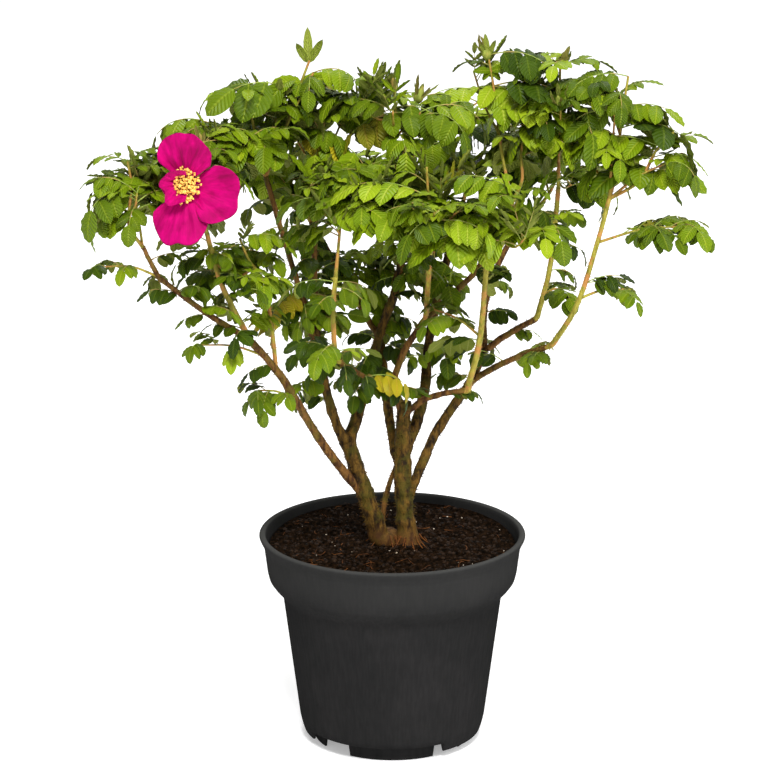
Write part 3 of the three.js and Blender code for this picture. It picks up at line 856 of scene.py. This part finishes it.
def bladeMesh(at, way, face, length, width, curl, fold, rows=7, teeth=0.03, blunt=0.6):
    # leaf blades as arrays: half the width is a power of a sine along the blade, the midrib bends as an arc,
    # and the underside is a shallow keel
    n, thick = len(at), 0.5
    v = np.arange(1, rows + 1) / (rows + 1)
    u = np.array([-1, -0.5, 0, 0.5, 1])
    outline = np.sin(math.pi * v**0.9) ** blunt * (1 + teeth * (-1.0) ** np.arange(rows))
    bend = curl[:, None] * v
    safe = np.where(np.abs(curl) < 1e-3, 1e-3, curl)[:, None]
    ahead = length[:, None] * np.sin(safe * v) / safe
    drop = length[:, None] * (1 - np.cos(safe * v)) / safe
    across = np.cross(face, way)
    above = face[:, None] * np.cos(bend)[..., None] + way[:, None] * np.sin(bend)[..., None]
    spine = at[:, None] + way[:, None] * ahead[..., None] - face[:, None] * drop[..., None]
    half = width[:, None, None] / 2 * outline[None, :, None]
    lateral = u * half * np.cos(fold)[:, None, None]
    lift = np.abs(u) * half * np.sin(fold)[:, None, None] - 0.3 * u**2 * half * np.cos(fold)[:, None, None]
    wave = 0.018 * length[:, None, None] * (-1.0) ** np.arange(rows)[None, :, None] * np.abs(u)
    top = spine[:, :, None] + across[:, None, None] * lateral[..., None]
    top = top + above[:, :, None] * (lift + wave)[..., None]
    under = top[:, :, 2] - above * thick
    tipDrop = (1 - np.cos(safe)) / safe
    tip = at + way * (length[:, None] * np.sin(safe) / safe) - face * (length[:, None] * tipDrop)
    rings = np.concatenate([top, under[:, :, None]], 2).reshape(n, -1, 3)
    points = np.concatenate([at[:, None], rings, tip[:, None]], 1)

    def i(row, column):
        return 1 + row * 6 + column
    end = 1 + rows * 6
    quads, tris, quadSide, triSide = [], [], [], []
    for r in range(rows - 1):
        for c in range(4):
            quads.append([i(r, c), i(r + 1, c), i(r + 1, c + 1), i(r, c + 1)])
            quadSide.append(0)
        quads += [[i(r, 0), i(r, 5), i(r + 1, 5), i(r + 1, 0)], [i(r, 5), i(r, 4), i(r + 1, 4), i(r + 1, 5)]]
        quadSide += [1, 1]
    for c in range(4):
        tris += [[0, i(0, c), i(0, c + 1)], [end, i(rows - 1, c + 1), i(rows - 1, c)]]
        triSide += [0, 0]
    tris += [[0, i(0, 5), i(0, 0)], [0, i(0, 4), i(0, 5)]]
    tris += [[end, i(rows - 1, 0), i(rows - 1, 5)], [end, i(rows - 1, 5), i(rows - 1, 4)]]
    triSide += [1] * 4
    step = (np.arange(n) * (end + 1))[:, None, None]
    quads = (np.array(quads)[None] + step).reshape(-1, 4)
    tris = (np.array(tris)[None] + step).reshape(-1, 3)
    sides = np.concatenate([np.tile(quadSide, n), np.tile(triSide, n)])
    marks = np.zeros((n, end + 1, 3))
    marks[:, 1:end, 0] = np.tile(np.append(u, 0), rows)
    marks[:, 1:end, 1] = np.repeat(v, 6)
    marks[:, end, 1] = 1
    marks[:, :, 2] = rng.random((n, 1))
    rim = np.zeros(end + 1, bool)
    rim[[0, end] + [i(r, c) for r in range(rows) for c in (0, 4)]] = True
    return points.reshape(-1, 3), quads, tris, sides, marks.reshape(-1, 3), np.tile(rim, n)


def leafFinish(name, light, dark, vein, roughness):
    # colour: dark to light by leaflet, paler along the midrib and side veins
    # height: pleats between the side veins
    f = Finish(name, roughness=roughness, specular=0.2)
    blade = f.node("ShaderNodeAttribute", {"attribute_name": "blade"}, output="Vector")
    v, chance = f.axis(blade, "Y"), f.axis(blade, "Z")
    aside = abs(f.axis(blade, "X"))
    slant = v * 8.5 - aside * 2.1
    fraction = f.node("ShaderNodeMath", {"operation": "FRACT"}, {0: slant})
    pleat = abs(fraction - 0.5) * 2
    midrib = 1 - f.step(0.0, 0.16, aside)
    sideVein = f.step(0.72, 1.0, pleat) * 0.45
    blotch = f.noise(90, 2)
    colour = f.mix(dark, light, chance * 0.62 + blotch * 0.38)
    colour = f.mix(colour, vein, midrib * 0.55 + sideVein * 0.5)
    height = (1 - pleat) * 0.8 + f.noise(700, 2) * 0.2 - midrib * 0.6
    f.set(baseColor=colour, roughness=roughness + blotch * 0.18, normal=f.bump(height, 0.8, 1.1))
    f.letThrough(0.16, light)
    return f.material


tints = {
    "deep": (rgb(68, 92, 4), rgb(34, 56, 2), rgb(100, 120, 26)),
    "mid": (rgb(106, 130, 5), rgb(58, 84, 1), rgb(142, 158, 38)),
    "fresh": (rgb(136, 160, 10), rgb(84, 114, 2), rgb(172, 184, 52)),
    "bright": (rgb(164, 186, 26), rgb(114, 146, 8), rgb(200, 210, 80)),
    "bronze": (rgb(146, 146, 30), rgb(106, 106, 14), rgb(172, 146, 56)),
    "yellowed": (rgb(200, 188, 40), rgb(164, 150, 20), rgb(208, 168, 56)),
    "young": (rgb(160, 172, 66), rgb(122, 142, 38), rgb(186, 192, 104)),
}
backFinish = leafFinish("leaf underside", rgb(144, 152, 62), rgb(104, 120, 34), rgb(170, 174, 90), 0.62)
stands = {"mid": "leaf", "bright": "bright_leaf"}  # the tint that replaces the masses of a slot
columns = [np.array([row[k] for row in leaflets], float) for k in range(7)]
tintOf = np.array([row[7] for row in leaflets])
for k, tint in enumerate(tintNames):
    own = tintOf == k
    if not own.any():
        continue
    at, way, face, length, width, curl, fold = (c[own] for c in columns)
    points, quads, tris, sides, marks, rim = bladeMesh(at, way, face, length, width, curl, fold)
    slotName = "bright_leaf" if tint in ("bright", "yellowed") else "leaf"
    finishes = [leafFinish("leaf " + tint, *tints[tint], 0.36), backFinish]
    piece = makePiece("leaves_" + tint, points, [quads, tris], finishes, slotName,
                      marks=marks, faceFinish=sides, rim=rim)
    if tint in stands:
        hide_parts(*[n for n in massNames if slotOf[n] == stands[tint]])
twigs.build("twigs", [barks["green_shoot"].material], "green_shoot")
ribFinish = barkFinish("leaf rib", rgb(150, 168, 76), rgb(110, 130, 50), rgb(174, 132, 84), 0.45, 0.2)
ribs.build("leaf_ribs", [ribFinish.material], "green_shoot")
for kind, batch in stems.items():
    piece = batch.build("stems_" + kind, [barks[kind].material], kind)
    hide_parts(*[n for n in limbNames if slotOf[n] == kind])
    if spines[kind].count:
        spines[kind].build("bristles_" + kind, [barks[kind].material], kind, flat=True)
print("crown and stems made")


# the pot: a profile turned about the upright axis, then drilled

_, potHigh = (np.array(v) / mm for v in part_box("pot"))
pot = {
    "segments": 256,
    "wall": 2.2,
    "floor": 14,
    "skirtCuts": ((-14, 96), (166, 96)),  # middle and width of each cut, in degrees from the front
    "footGaps": ((44, 26), (134, 26), (224, 26), (314, 26)),
    "holes": (6, 48, 7),  # how many, on what radius, how large
}


def roundedProfile(corners, reach, steps=5):
    # each corner of a closed outline becomes a short parabola, which starts and ends at reach or at a third
    # of the side
    p = np.asarray(corners, float)
    before, after = np.roll(p, 1, 0) - p, np.roll(p, -1, 0) - p
    a = np.linalg.norm(before, axis=1, keepdims=True)
    b = np.linalg.norm(after, axis=1, keepdims=True)
    start = p + before / a * np.minimum(reach, a / 3)
    end = p + after / b * np.minimum(reach, b / 3)
    t = np.linspace(0, 1, steps)[None, :, None]
    return ((1 - t) ** 2 * start[:, None] + 2 * t * (1 - t) * p[:, None] + t**2 * end[:, None]).reshape(-1, 2)


def arcMask(angle, arcs):
    # 1 inside any of the arcs, measured in degrees from the front
    turn = np.degrees(angle) + 90
    inside = np.zeros_like(turn)
    for middle, width in arcs:
        off = np.abs((turn - middle + 180) % 360 - 180)
        inside = np.maximum(inside, off < width / 2)
    return inside


def makePot():
    height, lip = potHigh[2], potHigh[0]
    wall, floor = pot["wall"], pot["floor"]
    foot = [(30, 0), (30, floor - wall), (65.8, floor - wall), (65.8, 0), (68, 0), (68, floor), (74.2, floor),
            (74.2, 6.5), (76.6, 6.5), (78.6, 12.5), (80.4, 20)]
    outerSide = [(94.6, 129), (95.6, 132), (98, 134.6), (102.6, 139.6), (106.2, 144.6), (107.8, 151),
                 (109.2, 162), (110.6, 173)]
    rolledLip = [(lip - 2.6, height - 7.5), (lip - 1.4, height - 5.4), (lip, height - 2.4),
                 (lip - 0.9, height - 0.7), (lip - 2.8, height), (lip - 5.2, height - 0.8),
                 (lip - 6.4, height - 3.6)]
    innerSide = [(107.2, 162), (105.6, 151), (103.6, 146), (99.6, 140.6), (93.2, 133), (92.2, 129),
                 (78.2, 22), (71, floor + wall)]
    axis = [(0.01, floor + wall), (0.01, 0)]
    profile = roundedProfile(foot + outerSide + rolledLip + innerSide + axis, 1.1)
    profile = profile[profile[:, 0] > 2]  # the foot and the floor each close in a fan round the axis
    angle = ringAngles(pot["segments"])
    r = np.repeat(profile[:, :1], len(angle), 1)
    z = np.repeat(profile[:, 1:], len(angle), 1)
    turn = np.broadcast_to(angle, r.shape)
    skirt = (r > 72.5) & (z < floor + 1.1)
    cutTop, gapTop = floor + 0.6, floor - wall - 0.6
    skirt &= (z < cutTop) & (arcMask(turn, pot["skirtCuts"]) > 0.5)
    z = np.where(skirt, cutTop + (z - cutTop) * 0.02, z)  # nearly flat: a fiftieth of the height stays
    ring = (r > 64.8) & (r < 69) & (z < gapTop) & (arcMask(turn, pot["footGaps"]) > 0.5)
    z = np.where(ring, gapTop + (z - gapTop) * 0.02, z)
    points = np.stack([r * np.cos(turn), r * np.sin(turn), z], -1).reshape(-1, 3)
    quads = gridQuads(len(profile), len(angle), wrapColumns=True)[:, ::-1]
    n = len(angle)
    lids = [fan(n, 0, len(points)), fan(n, (len(profile) - 1) * n, len(points) + 1, flip=True)]
    points = np.concatenate([points, [[0, 0, 0]], [[0, 0, floor + wall]]])
    piece = makePiece("pot_shell", points, [quads, np.concatenate(lids)], [potFinish()], "pot")
    number, circle, radius = pot["holes"]
    for k in range(number):
        a = (k + 0.5) * 2 * math.pi / number
        place = (circle * mm * math.cos(a), circle * mm * math.sin(a), floor * mm)
        turned = (0, 0, 0.07)  # keeps the drill's edges off the grid's lines
        bpy.ops.mesh.primitive_cylinder_add(vertices=24, radius=radius * mm, depth=0.02,
                                            location=place, rotation=turned)
        drill = bpy.context.object
        cut = piece.modifiers.new("drain hole", "BOOLEAN")
        cut.operation, cut.object, cut.solver = "DIFFERENCE", drill, "EXACT"
        bpy.context.view_layer.objects.active = piece
        bpy.ops.object.modifier_apply(modifier=cut.name)
        bpy.data.objects.remove(drill)
    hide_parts("pot")


def potFinish():
    # colour: near black, with fine upright streaks and dust in broad patches; painted light: the collar is
    # painted paler as if more light falls on it, and the lip carries a painted highlight
    # height: the streaks and fine specks
    f = Finish("black pot plastic", specular=0.0)
    streak = f.noise(420, 3, stretch=(1, 1, 0.06))
    dust = f.noise(14, 4, 0.65)
    speck = f.noise(1500, 2)
    pale = f.step(0.3, 0.75, streak) * 0.35 + f.step(0.4, 0.8, dust) * 0.45
    colour = f.mix(rgb(31, 31, 31), rgb(42, 41, 41), pale)
    upward = f.axis(f.place, "Z")
    # painted light: the upward-facing collar is made paler, standing in for the extra light that falls on it
    colour = f.mix(colour, rgb(60, 60, 59), f.step(0.13, 0.165, upward) * 0.26)
    # painted highlight: a pale band along the lip stands in for the glint of light on its edge
    colour = f.mix(colour, rgb(104, 104, 101), f.step(0.1825, 0.1848, upward) * 0.2)
    f.set(baseColor=colour, roughness=0.46 + dust * 0.16 + streak * 0.06,
          normal=f.bump(streak * 0.5 + speck * 0.5, 0.22, 0.25))
    return f.material


makePot()

# the compost: one closed grid, its top heaped and uneven, with loose crumbs, fibres and grit on it

soil = {
    "angleSteps": 300,
    "ringSteps": 120,
    "inner": 106.2,  # mm, where it meets the pot's wall
    "crumbs": 1500,
    "fibres": 70,
    "collarFibres": 40,
    "grit": 45,
}


def soilHeight(x, y):
    # a low heap at the foot of the stems, hollows and crumbs at three sizes
    r = np.hypot(x, y)
    p = np.stack([x, y, x * 0], -1)
    level = soilTop - 0.4 - 2.8 * smooth(20, 106, r) + 5.0 * smooth(-10, 92, y)
    clods = 1.7 * lumps(p, 13, 3) + 1.25 * lumps(p, 5, 4) + 0.8 * lumps(p, 2.2, 5)
    heap = 2.6 * np.exp(-((x - 3) ** 2 + (y + 4) ** 2) / 520)
    return level + clods * smooth(108, 100, r) + heap


def makeSoil():
    angle = ringAngles(soil["angleSteps"])
    top = soil["inner"] * np.linspace(0.012, 1, soil["ringSteps"])
    r = np.concatenate([[0.02], top, [105.2, 101.4, 92, 77.6, 70.8, 0.02]])
    fixed = np.array([160, 147, 131.5, 22.6, 16.7, 16.7])  # the heights of the last six rings
    r, turn = np.broadcast_arrays(r[:, None], angle[None, :])
    x, y = r * np.cos(turn), r * np.sin(turn)
    z = soilHeight(x, y)
    z[0] = z[0].mean()
    z[-6:] = fixed[:, None]
    points = np.stack([x, y, z], -1).reshape(-1, 3)
    quads = gridQuads(len(r), len(angle), wrapColumns=True)
    n = len(angle)
    lids = [fan(n, 0, len(points)), fan(n, (len(r) - 1) * n, len(points) + 1, flip=True)]
    points = np.concatenate([points, points[:1] * [0, 0, 1], points[-1:] * [0, 0, 1]])
    piece = makePiece("compost", points, [quads[:, ::-1], np.concatenate(lids)], [soilFinish()], "soil")
    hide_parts("soil")


def soilFinish():
    # colour: near-black to brown by crumbs, with a few paler grains
    # height: crumbs and grains
    f = Finish("compost", specular=0.02)
    crumb = f.noise(260, 5, 0.7)
    broad = f.noise(40, 2)
    grain = f.noise(1100, 3, 0.7)
    colour = f.mix(rgb(5, 3, 1), rgb(40, 26, 14), f.step(0.38, 0.7, crumb))
    colour = f.mix(colour, rgb(84, 56, 32), f.step(0.6, 0.74, grain) * f.step(0.4, 0.6, broad) * 0.6)
    f.set(baseColor=colour, roughness=0.88 + 0.1 * crumb, normal=f.bump(crumb * 0.6 + grain * 0.4, 1.0, 2.2))
    return f.material


def onSoil(count, inner=12):
    # even places on the compost, clear of the rim
    r = np.sqrt(rng.uniform(inner**2, 101.0**2, count))
    a = anyTurn(count)
    x, y = r * np.cos(a), r * np.sin(a)
    return np.stack([x, y, soilHeight(x, y)], -1)


def pebbles(at, size, squash):
    # grains: the twenty faces of an icosahedron, each of its twelve corners pushed in or out
    g = (1 + 5**0.5) / 2  # the golden ratio
    ball = [[-1, g, 0], [1, g, 0], [-1, -g, 0], [1, -g, 0], [0, -1, g], [0, 1, g], [0, -1, -g], [0, 1, -g],
            [g, 0, -1], [g, 0, 1], [-g, 0, -1], [-g, 0, 1]]
    ball = unit(np.array(ball, float))
    faces = np.array([[0, 11, 5], [0, 5, 1], [0, 1, 7], [0, 7, 10], [0, 10, 11], [1, 5, 9], [5, 11, 4],
                      [11, 10, 2], [10, 7, 6], [7, 1, 8], [3, 9, 4], [3, 4, 2], [3, 2, 6], [3, 6, 8],
                      [3, 8, 9], [4, 9, 5], [2, 4, 11], [6, 2, 10], [8, 6, 7], [9, 8, 1]])
    n = len(at)
    stretch = rng.uniform(0.7, 1.3, (n, 1, 3)) * np.array([1, 1, squash])
    points = at[:, None] + ball[None] * size[:, None, None] * stretch * rng.uniform(0.75, 1.2, (n, 12, 1))
    return points.reshape(-1, 3), repeatFaces(faces, n)


def plainFinish(name, light, dark, scale, roughness, height):
    # colour: two shades by noise; height: the same noise
    f = Finish(name, roughness=roughness, specular=0.15)
    n = f.noise(scale, 4, 0.6)
    f.set(baseColor=f.mix(dark, light, f.step(0.35, 0.65, n)), normal=f.bump(n, 0.7, height))
    return f.material


makeSoil()
points, faces = pebbles(onSoil(soil["crumbs"]), rng.uniform(0.5, 1.9, soil["crumbs"]) ** 1.2, 0.75)
crumbFinish = plainFinish("compost crumb", rgb(44, 29, 16), rgb(7, 4, 2), 300, 0.9, 0.8)
makePiece("compost_crumbs", points, [faces], [crumbFinish], "soil", flat=True)
points, faces = pebbles(onSoil(soil["grit"]), rng.uniform(0.4, 1.0, soil["grit"]), 0.8)
gritFinish = plainFinish("grit", rgb(214, 204, 188), rgb(150, 134, 112), 500, 0.8, 0.3)
makePiece("compost_grit", points, [faces], [gritFinish], "soil", flat=True)
fibres = Batch()
for at in onSoil(soil["fibres"], 8):
    turn, length = anyTurn(), rng.uniform(4, 13)
    t = np.linspace(-0.5, 0.5, 5)[:, None]
    way = levelWay(turn)
    bow = np.array([-way[1], way[0], 0]) * length * rng.normal(0, 0.2)
    path = at + way * length * t + bow * t**2 * 2
    path[:, 2] = soilHeight(path[:, 0], path[:, 1]) + 0.5
    fibres.add(*tube(path, rng.uniform(0.18, 0.42), 4))
for k in range(soil["collarFibres"]):  # a fibrous collar round the feet of the stems
    foot = limbs["centre_trunk" if k % 2 else "left_trunk"]["line"][1]
    turn = anyTurn()
    t = np.linspace(0, 1, 5)[:, None]
    way = levelWay(turn)
    path = foot * [1, 1, 0] + way * (7.5 + 9 * t + rng.uniform(0, 4))
    path = path + [0, 0, soilTop + 9] - np.array([0, 0, 9.0]) * t**0.7
    fibres.add(*tube(path, rng.uniform(0.3, 0.7), 4))
fibreFinish = plainFinish("fibre", rgb(112, 66, 26), rgb(58, 32, 13), 200, 0.85, 0.3)
fibres.build("compost_fibres", [fibreFinish], "soil")


# the flower: five notched petals laid over each other round a boss of stamens

flower = {
    "petalLength": (42, 46, 48, 25, 24),
    "petalTurn": (86, -12, -90, -146, 156),  # degrees round the flower, 0 to its right
    "petalWidth": (0.86, 0.84, 0.76, 0.8, 0.82),  # radians to each side
    "petalLift": (0.12, 0.0, 0.08, 0.9, 0.95),  # radians that it stands up from the flower's plane
    "petalLayer": (1.6, 0.0, 2.4, 0.4, 1.0),  # mm in front of the flower's plane
    "cup": 9,  # mm that the petals rise towards their rims
    "thick": 0.5,
    "stamens": 250,
}
flowerRight = unit(np.cross(np.array([0, 0, 1.0]), -blossom["faces"]) * -1)
flowerUp = np.cross(flowerRight, -blossom["faces"]) * -1
if flowerUp[2] < 0:
    flowerUp = -flowerUp
flowerHub = blossom["at"] + flowerRight * -10.5 + np.array([0, 0, 4.0])


def intoFlower(local):
    # right, up and outward, in the flower's own frame, to the row's
    flat = flowerHub + local[..., :1] * flowerRight + local[..., 1:2] * flowerUp
    return flat + local[..., 2:] * blossom["faces"]


def petal(length, turn, width, rise, layer, seed, n=38):
    # a fan: the distance runs out along each ray to a rim with a notch; creases run along the rays
    u, v = np.meshgrid(np.linspace(-1, 1, n), np.linspace(0, 1, n))
    notch = 0.05 * np.exp(-((u / 0.14) ** 2))
    rim = length * (1 - 0.4 * np.abs(u) ** 2.4 - notch + 0.016 * np.sin(9 * u + seed))
    spread = width * (0.85 + 0.15 * smooth(0, 0.6, v)) * u
    reach = 2.5 + v * rim * (1 - 0.1 * (1 - v))
    x, y = reach * np.cos(spread), reach * np.sin(spread)
    p = np.stack([u * 5.5, v * 2.0, u * 0 + seed * 3.1], -1)
    crease = 4.2 * lumps(p, 2.3, seed + 20) + 1.6 * lumps(p, 1.1, seed)
    crease += 0.9 * lumps(p * [1, 0.8, 1], 0.42, seed + 9)
    crease += 0.7 * lumps(p * [1, 2.2, 1], 0.9, seed + 5)
    wave = 2.6 * np.sin(4.5 * u + seed * 1.7) * v**3
    z = flower["cup"] * v**1.6 - 3.5 * v**4 + crease * smooth(0.05, 0.6, v) + wave + layer
    x, z = x * math.cos(rise) - z * math.sin(rise), x * math.sin(rise) + z * math.cos(rise)
    a = math.radians(turn)
    front = np.stack([x * math.cos(a) - y * math.sin(a), x * math.sin(a) + y * math.cos(a), z], -1)
    middle = np.minimum(np.minimum(u + 1, 1 - u), np.minimum(v, 1 - v)) > 1e-6
    back = front - np.array([0, 0, flower["thick"]])
    number = np.full(u.shape, -1)
    number[middle] = n * n + np.arange(middle.sum())
    whole = np.arange(n * n).reshape(n, n)
    behind = np.where(middle, number, whole)
    frontQuads = gridQuads(n, n)[:, ::-1]
    # the four corner faces are split through the corner, so that front and back don't share a triangle
    cornerQuads = np.array([0, n - 2, (n - 1) * (n - 2), (n - 1) ** 2 - 1])
    split = np.stack([np.roll(frontQuads[q], turned) for q, turned in zip(cornerQuads, (1, 0, 0, 1))])
    frontTris = np.concatenate([split[:, [0, 1, 2]], split[:, [0, 2, 3]]])
    frontQuads = np.delete(frontQuads, cornerQuads, axis=0)
    backQuads, backTris = (behind.reshape(-1)[faces][:, ::-1] for faces in (frontQuads, frontTris))
    points = np.concatenate([front.reshape(-1, 3), back[middle]])
    marks = np.stack([u, v, u * 0 + seed], -1)
    marks = np.concatenate([marks.reshape(-1, 3), marks[middle]])
    quads, tris = np.concatenate([frontQuads, backQuads]), np.concatenate([frontTris, backTris])
    return intoFlower(points), quads, tris, marks


def petalFinish():
    # colour: deep magenta to rose by veins along the petal and by blotches, paler towards the claw
    # height: the veins
    f = Finish("magenta petal", roughness=0.62, specular=0.05, sheenWeight=0.04, sheenRoughness=0.5)
    blade = f.node("ShaderNodeAttribute", {"attribute_name": "blade"}, output="Vector")
    stretched = f.node("ShaderNodeMapping", None, {"Vector": blade, "Scale": (5.0, 1.6, 1.0)})
    vein = f.node("ShaderNodeTexNoise", None,
                  {"Vector": stretched, "Scale": 2.0, "Detail": 6.0, "Roughness": 0.6})
    blotch = f.noise(60, 3)
    rose = f.step(0.25, 0.75, vein) * 0.5 + f.step(0.35, 0.65, blotch) * 0.5
    colour = f.mix(rgb(140, 0, 72), rgb(200, 0, 112), rose)
    colour = f.mix(rgb(210, 50, 130), colour, f.step(0.0, 0.12, f.axis(blade, "Y")))
    f.set(baseColor=colour, normal=f.bump(vein, 0.6, 0.7))
    f.letThrough(0.15, rgb(180, 2, 100))
    return f.material


petals = Batch()
for k in range(5):
    own = (flower[key][k] for key in ("petalLength", "petalTurn", "petalWidth", "petalLift", "petalLayer"))
    points, quads, tris, marks = petal(*own, k + 2)
    petals.add(points, quads=quads, tris=tris, marks=marks)
petals.build("petals", [petalFinish()], "petal")

goldenTurn = 2.39996  # radians: seeds in a head follow each other at this angle
filaments, anthers = Batch(), []
count = flower["stamens"]
share = np.sqrt((np.arange(count) + 0.5) / count)
turn = np.arange(count) * goldenTurn + rng.normal(0, 0.1, count)
for s, a in zip(share, turn):
    tilt = s * 1.2 + rng.normal(0, 0.1)
    length = 11.0 + rng.uniform(-2.4, 2.0)
    way = np.array([math.cos(a) * math.sin(tilt), math.sin(a) * math.sin(tilt), math.cos(tilt)])
    start = np.array([math.cos(a) * 2.6 * s, math.sin(a) * 2.6 * s, 2.6])
    path = start + way * length * np.linspace(0, 1, 4)[:, None]
    filaments.add(*tube(intoFlower(path), 0.22, 4))
    anthers.append(intoFlower(path[-1]))
filamentFinish = plainFinish("filament", rgb(238, 190, 100), rgb(206, 142, 62), 400, 0.6, 0.1)
filaments.build("filaments", [filamentFinish], "stamen")
points, faces = pebbles(np.array(anthers), rng.uniform(0.95, 1.45, count), 1.0)
pollenFinish = plainFinish("pollen", rgb(250, 210, 116), rgb(224, 164, 66), 900, 0.8, 0.3)
makePiece("anthers", points, [faces], [pollenFinish], "stamen")

# the stigmas: part of a ball of this radius, roughened
rings, sides, ball = 9, 14, 3.4
u, v = np.meshgrid(ringAngles(sides), np.linspace(0.02, 1.35, rings))
boss = np.stack([ball * np.sin(v) * np.cos(u), ball * np.sin(v) * np.sin(u), 1.6 + ball * np.cos(v)], -1)
boss += 0.3 * lumps(boss, 0.8, 6)[..., None] * unit(boss)
bossPoints = np.concatenate([boss.reshape(-1, 3), [[0, 0, 5.2]], [[0, 0, 2.0]]])
last = (rings - 1) * sides
bossTris = [fan(sides, 0, rings * sides), fan(sides, last, rings * sides + 1, flip=True)]
bossQuads = gridQuads(rings, sides, wrapColumns=True)[:, ::-1]
stigmaFinish = plainFinish("stigma", rgb(214, 162, 76), rgb(168, 104, 46), 700, 0.7, 0.4)
makePiece("stigmas", intoFlower(bossPoints), [bossQuads, np.concatenate(bossTris)], [stigmaFinish], "stamen")


# buds and the flower's green cup: a swollen base, a pointed body and long narrow sepals

buds = {
    "foliage_top_middle": 2, "foliage_right_top": 3, "foliage_left_shoulder": 1, "foliage_behind_flower": 1,
    "foliage_right_heart": 1, "foliage_upper_left": 1, "foliage_back_centre": 1, "foliage_right_peak": 1,
}
budBodies, sepals = Batch(), []


def addBud(at, way, size, opened=0.12, body=1.0):
    # the body's radius is a sine that leans to its foot; five sepals close round it and pass its tip
    way = unit(way)
    t = np.linspace(0, 1, 12)
    path = at + way * (t * 17 * size * body)[:, None]
    radius = size * (0.8 + 4.3 * np.sin(math.pi * t**0.75) ** 0.9) * (1 - 0.25 * t)
    budBodies.add(*tube(path, np.maximum(radius, 0.35), 12, lambda p, a, d: 0.16 * size * np.sin(5 * a)))
    along, side, up = ringFrames(np.array([at, at + way]))
    for k in range(5):
        a = k * 2 * math.pi / 5 + rng.uniform(-0.2, 0.2)
        out = math.cos(a) * side[0] + math.sin(a) * up[0]
        foot = at + way * 5 * size + out * 3.1 * size
        onward = unit(way + out * opened * rng.uniform(0.4, 1.8))
        face = unit(out - way * (out @ way))
        length = 19 * size * rng.uniform(0.6, 1.25)
        sepals.append((foot, onward, face, length, 5.2 * size, rng.uniform(-0.5, 0.7), 0.5))


for mass, number in buds.items():
    for tip, way in sorted(shootTips.get(mass, []), key=lambda t: -t[0][2])[:number]:
        if not hitsFlower(tip):
            lean = way + np.array([0, 0, 0.5]) + rng.normal(0, 0.3, 3)
            addBud(tip - way * 4, lean, rng.uniform(0.75, 1.0), opened=rng.uniform(0.05, 0.3))
hip = flowerHub - blossom["faces"] * 13
addBud(hip, blossom["faces"], 1.05, opened=1.9, body=0.6)
stalkFrom = limbs["flower_shoot"]["line"][-1]
stalk = curve([stalkFrom, stalkFrom * 0.45 + hip * 0.55 + [0, 6, 0], hip], 14)
budFinish = barkFinish("bud green", rgb(142, 150, 62), rgb(100, 112, 38), rgb(160, 126, 66), 0.5, 0.3)
budBodies.add(*tube(stalk, np.linspace(2.0, 1.5, 14), 8))
budBodies.build("buds", [budFinish.material], "green_shoot")
columns = [np.array([row[k] for row in sepals], float) for k in range(7)]
points, quads, tris, sides, marks, rim = bladeMesh(*columns, rows=6, teeth=0.0, blunt=0.5)
sepalFinish = leafFinish("sepal", rgb(158, 156, 74), rgb(120, 112, 44), rgb(176, 140, 84), 0.55)
makePiece("sepals", points, [quads, tris], [sepalFinish, backFinish], "leaf",
          marks=marks, faceFinish=sides, rim=rim)
print("flower and buds made")

# stage, light and camera

floorMesh = bpy.data.meshes.new("floor")
floorMesh.from_pydata([(-30, -30, 0), (30, -30, 0), (30, 30, 0), (-30, 30, 0)], [], [(0, 1, 2, 3)])
floor = bpy.data.objects.new("floor", floorMesh)
bpy.context.scene.collection.objects.link(floor)
pale = Finish("pale floor", baseColor=(0.9, 0.9, 0.9, 1), roughness=0.9, specular=0.1,
              emissionColor=(1, 1, 1, 1), emissionStrength=0.35)
floorMesh.materials.append(pale.material)

world = bpy.data.worlds.new("studio")
bpy.context.scene.world = world
world.use_nodes = True
world.node_tree.nodes["Background"].inputs["Color"].default_value = (1, 1, 1, 1)
world.node_tree.nodes["Background"].inputs["Strength"].default_value = 0.55
bpy.context.scene.view_settings.view_transform = "Standard"


def softLight(name, place, power, size):
    lamp = bpy.data.lights.new(name, "AREA")
    lamp.energy, lamp.size = power, size
    lampObject = bpy.data.objects.new(name, lamp)
    lampObject.location = place
    lampObject.rotation_euler = (Vector((0, 0, 0.4)) - Vector(place)).to_track_quat("-Z", "Y").to_euler()
    bpy.context.scene.collection.objects.link(lampObject)


softLight("key", (0.1, -2.2, 3.0), 132, 0.9)
softLight("fill", (2.2, -1.4, 1.5), 30, 1.6)
softLight("rim", (0.4, 2.4, 2.6), 45, 1.6)

eye = bpy.data.cameras.new("camera")
eye.sensor_width, eye.lens = 36, 158.5
eye.clip_start, eye.clip_end = 0.1, 100
camera = bpy.data.objects.new("camera", eye)
camera.location = (-0.005, -2.8, 1.106)
camera.rotation_euler = (math.radians(90 - 15.8), 0, 0)
bpy.context.scene.collection.objects.link(camera)
bpy.context.scene.camera = camera
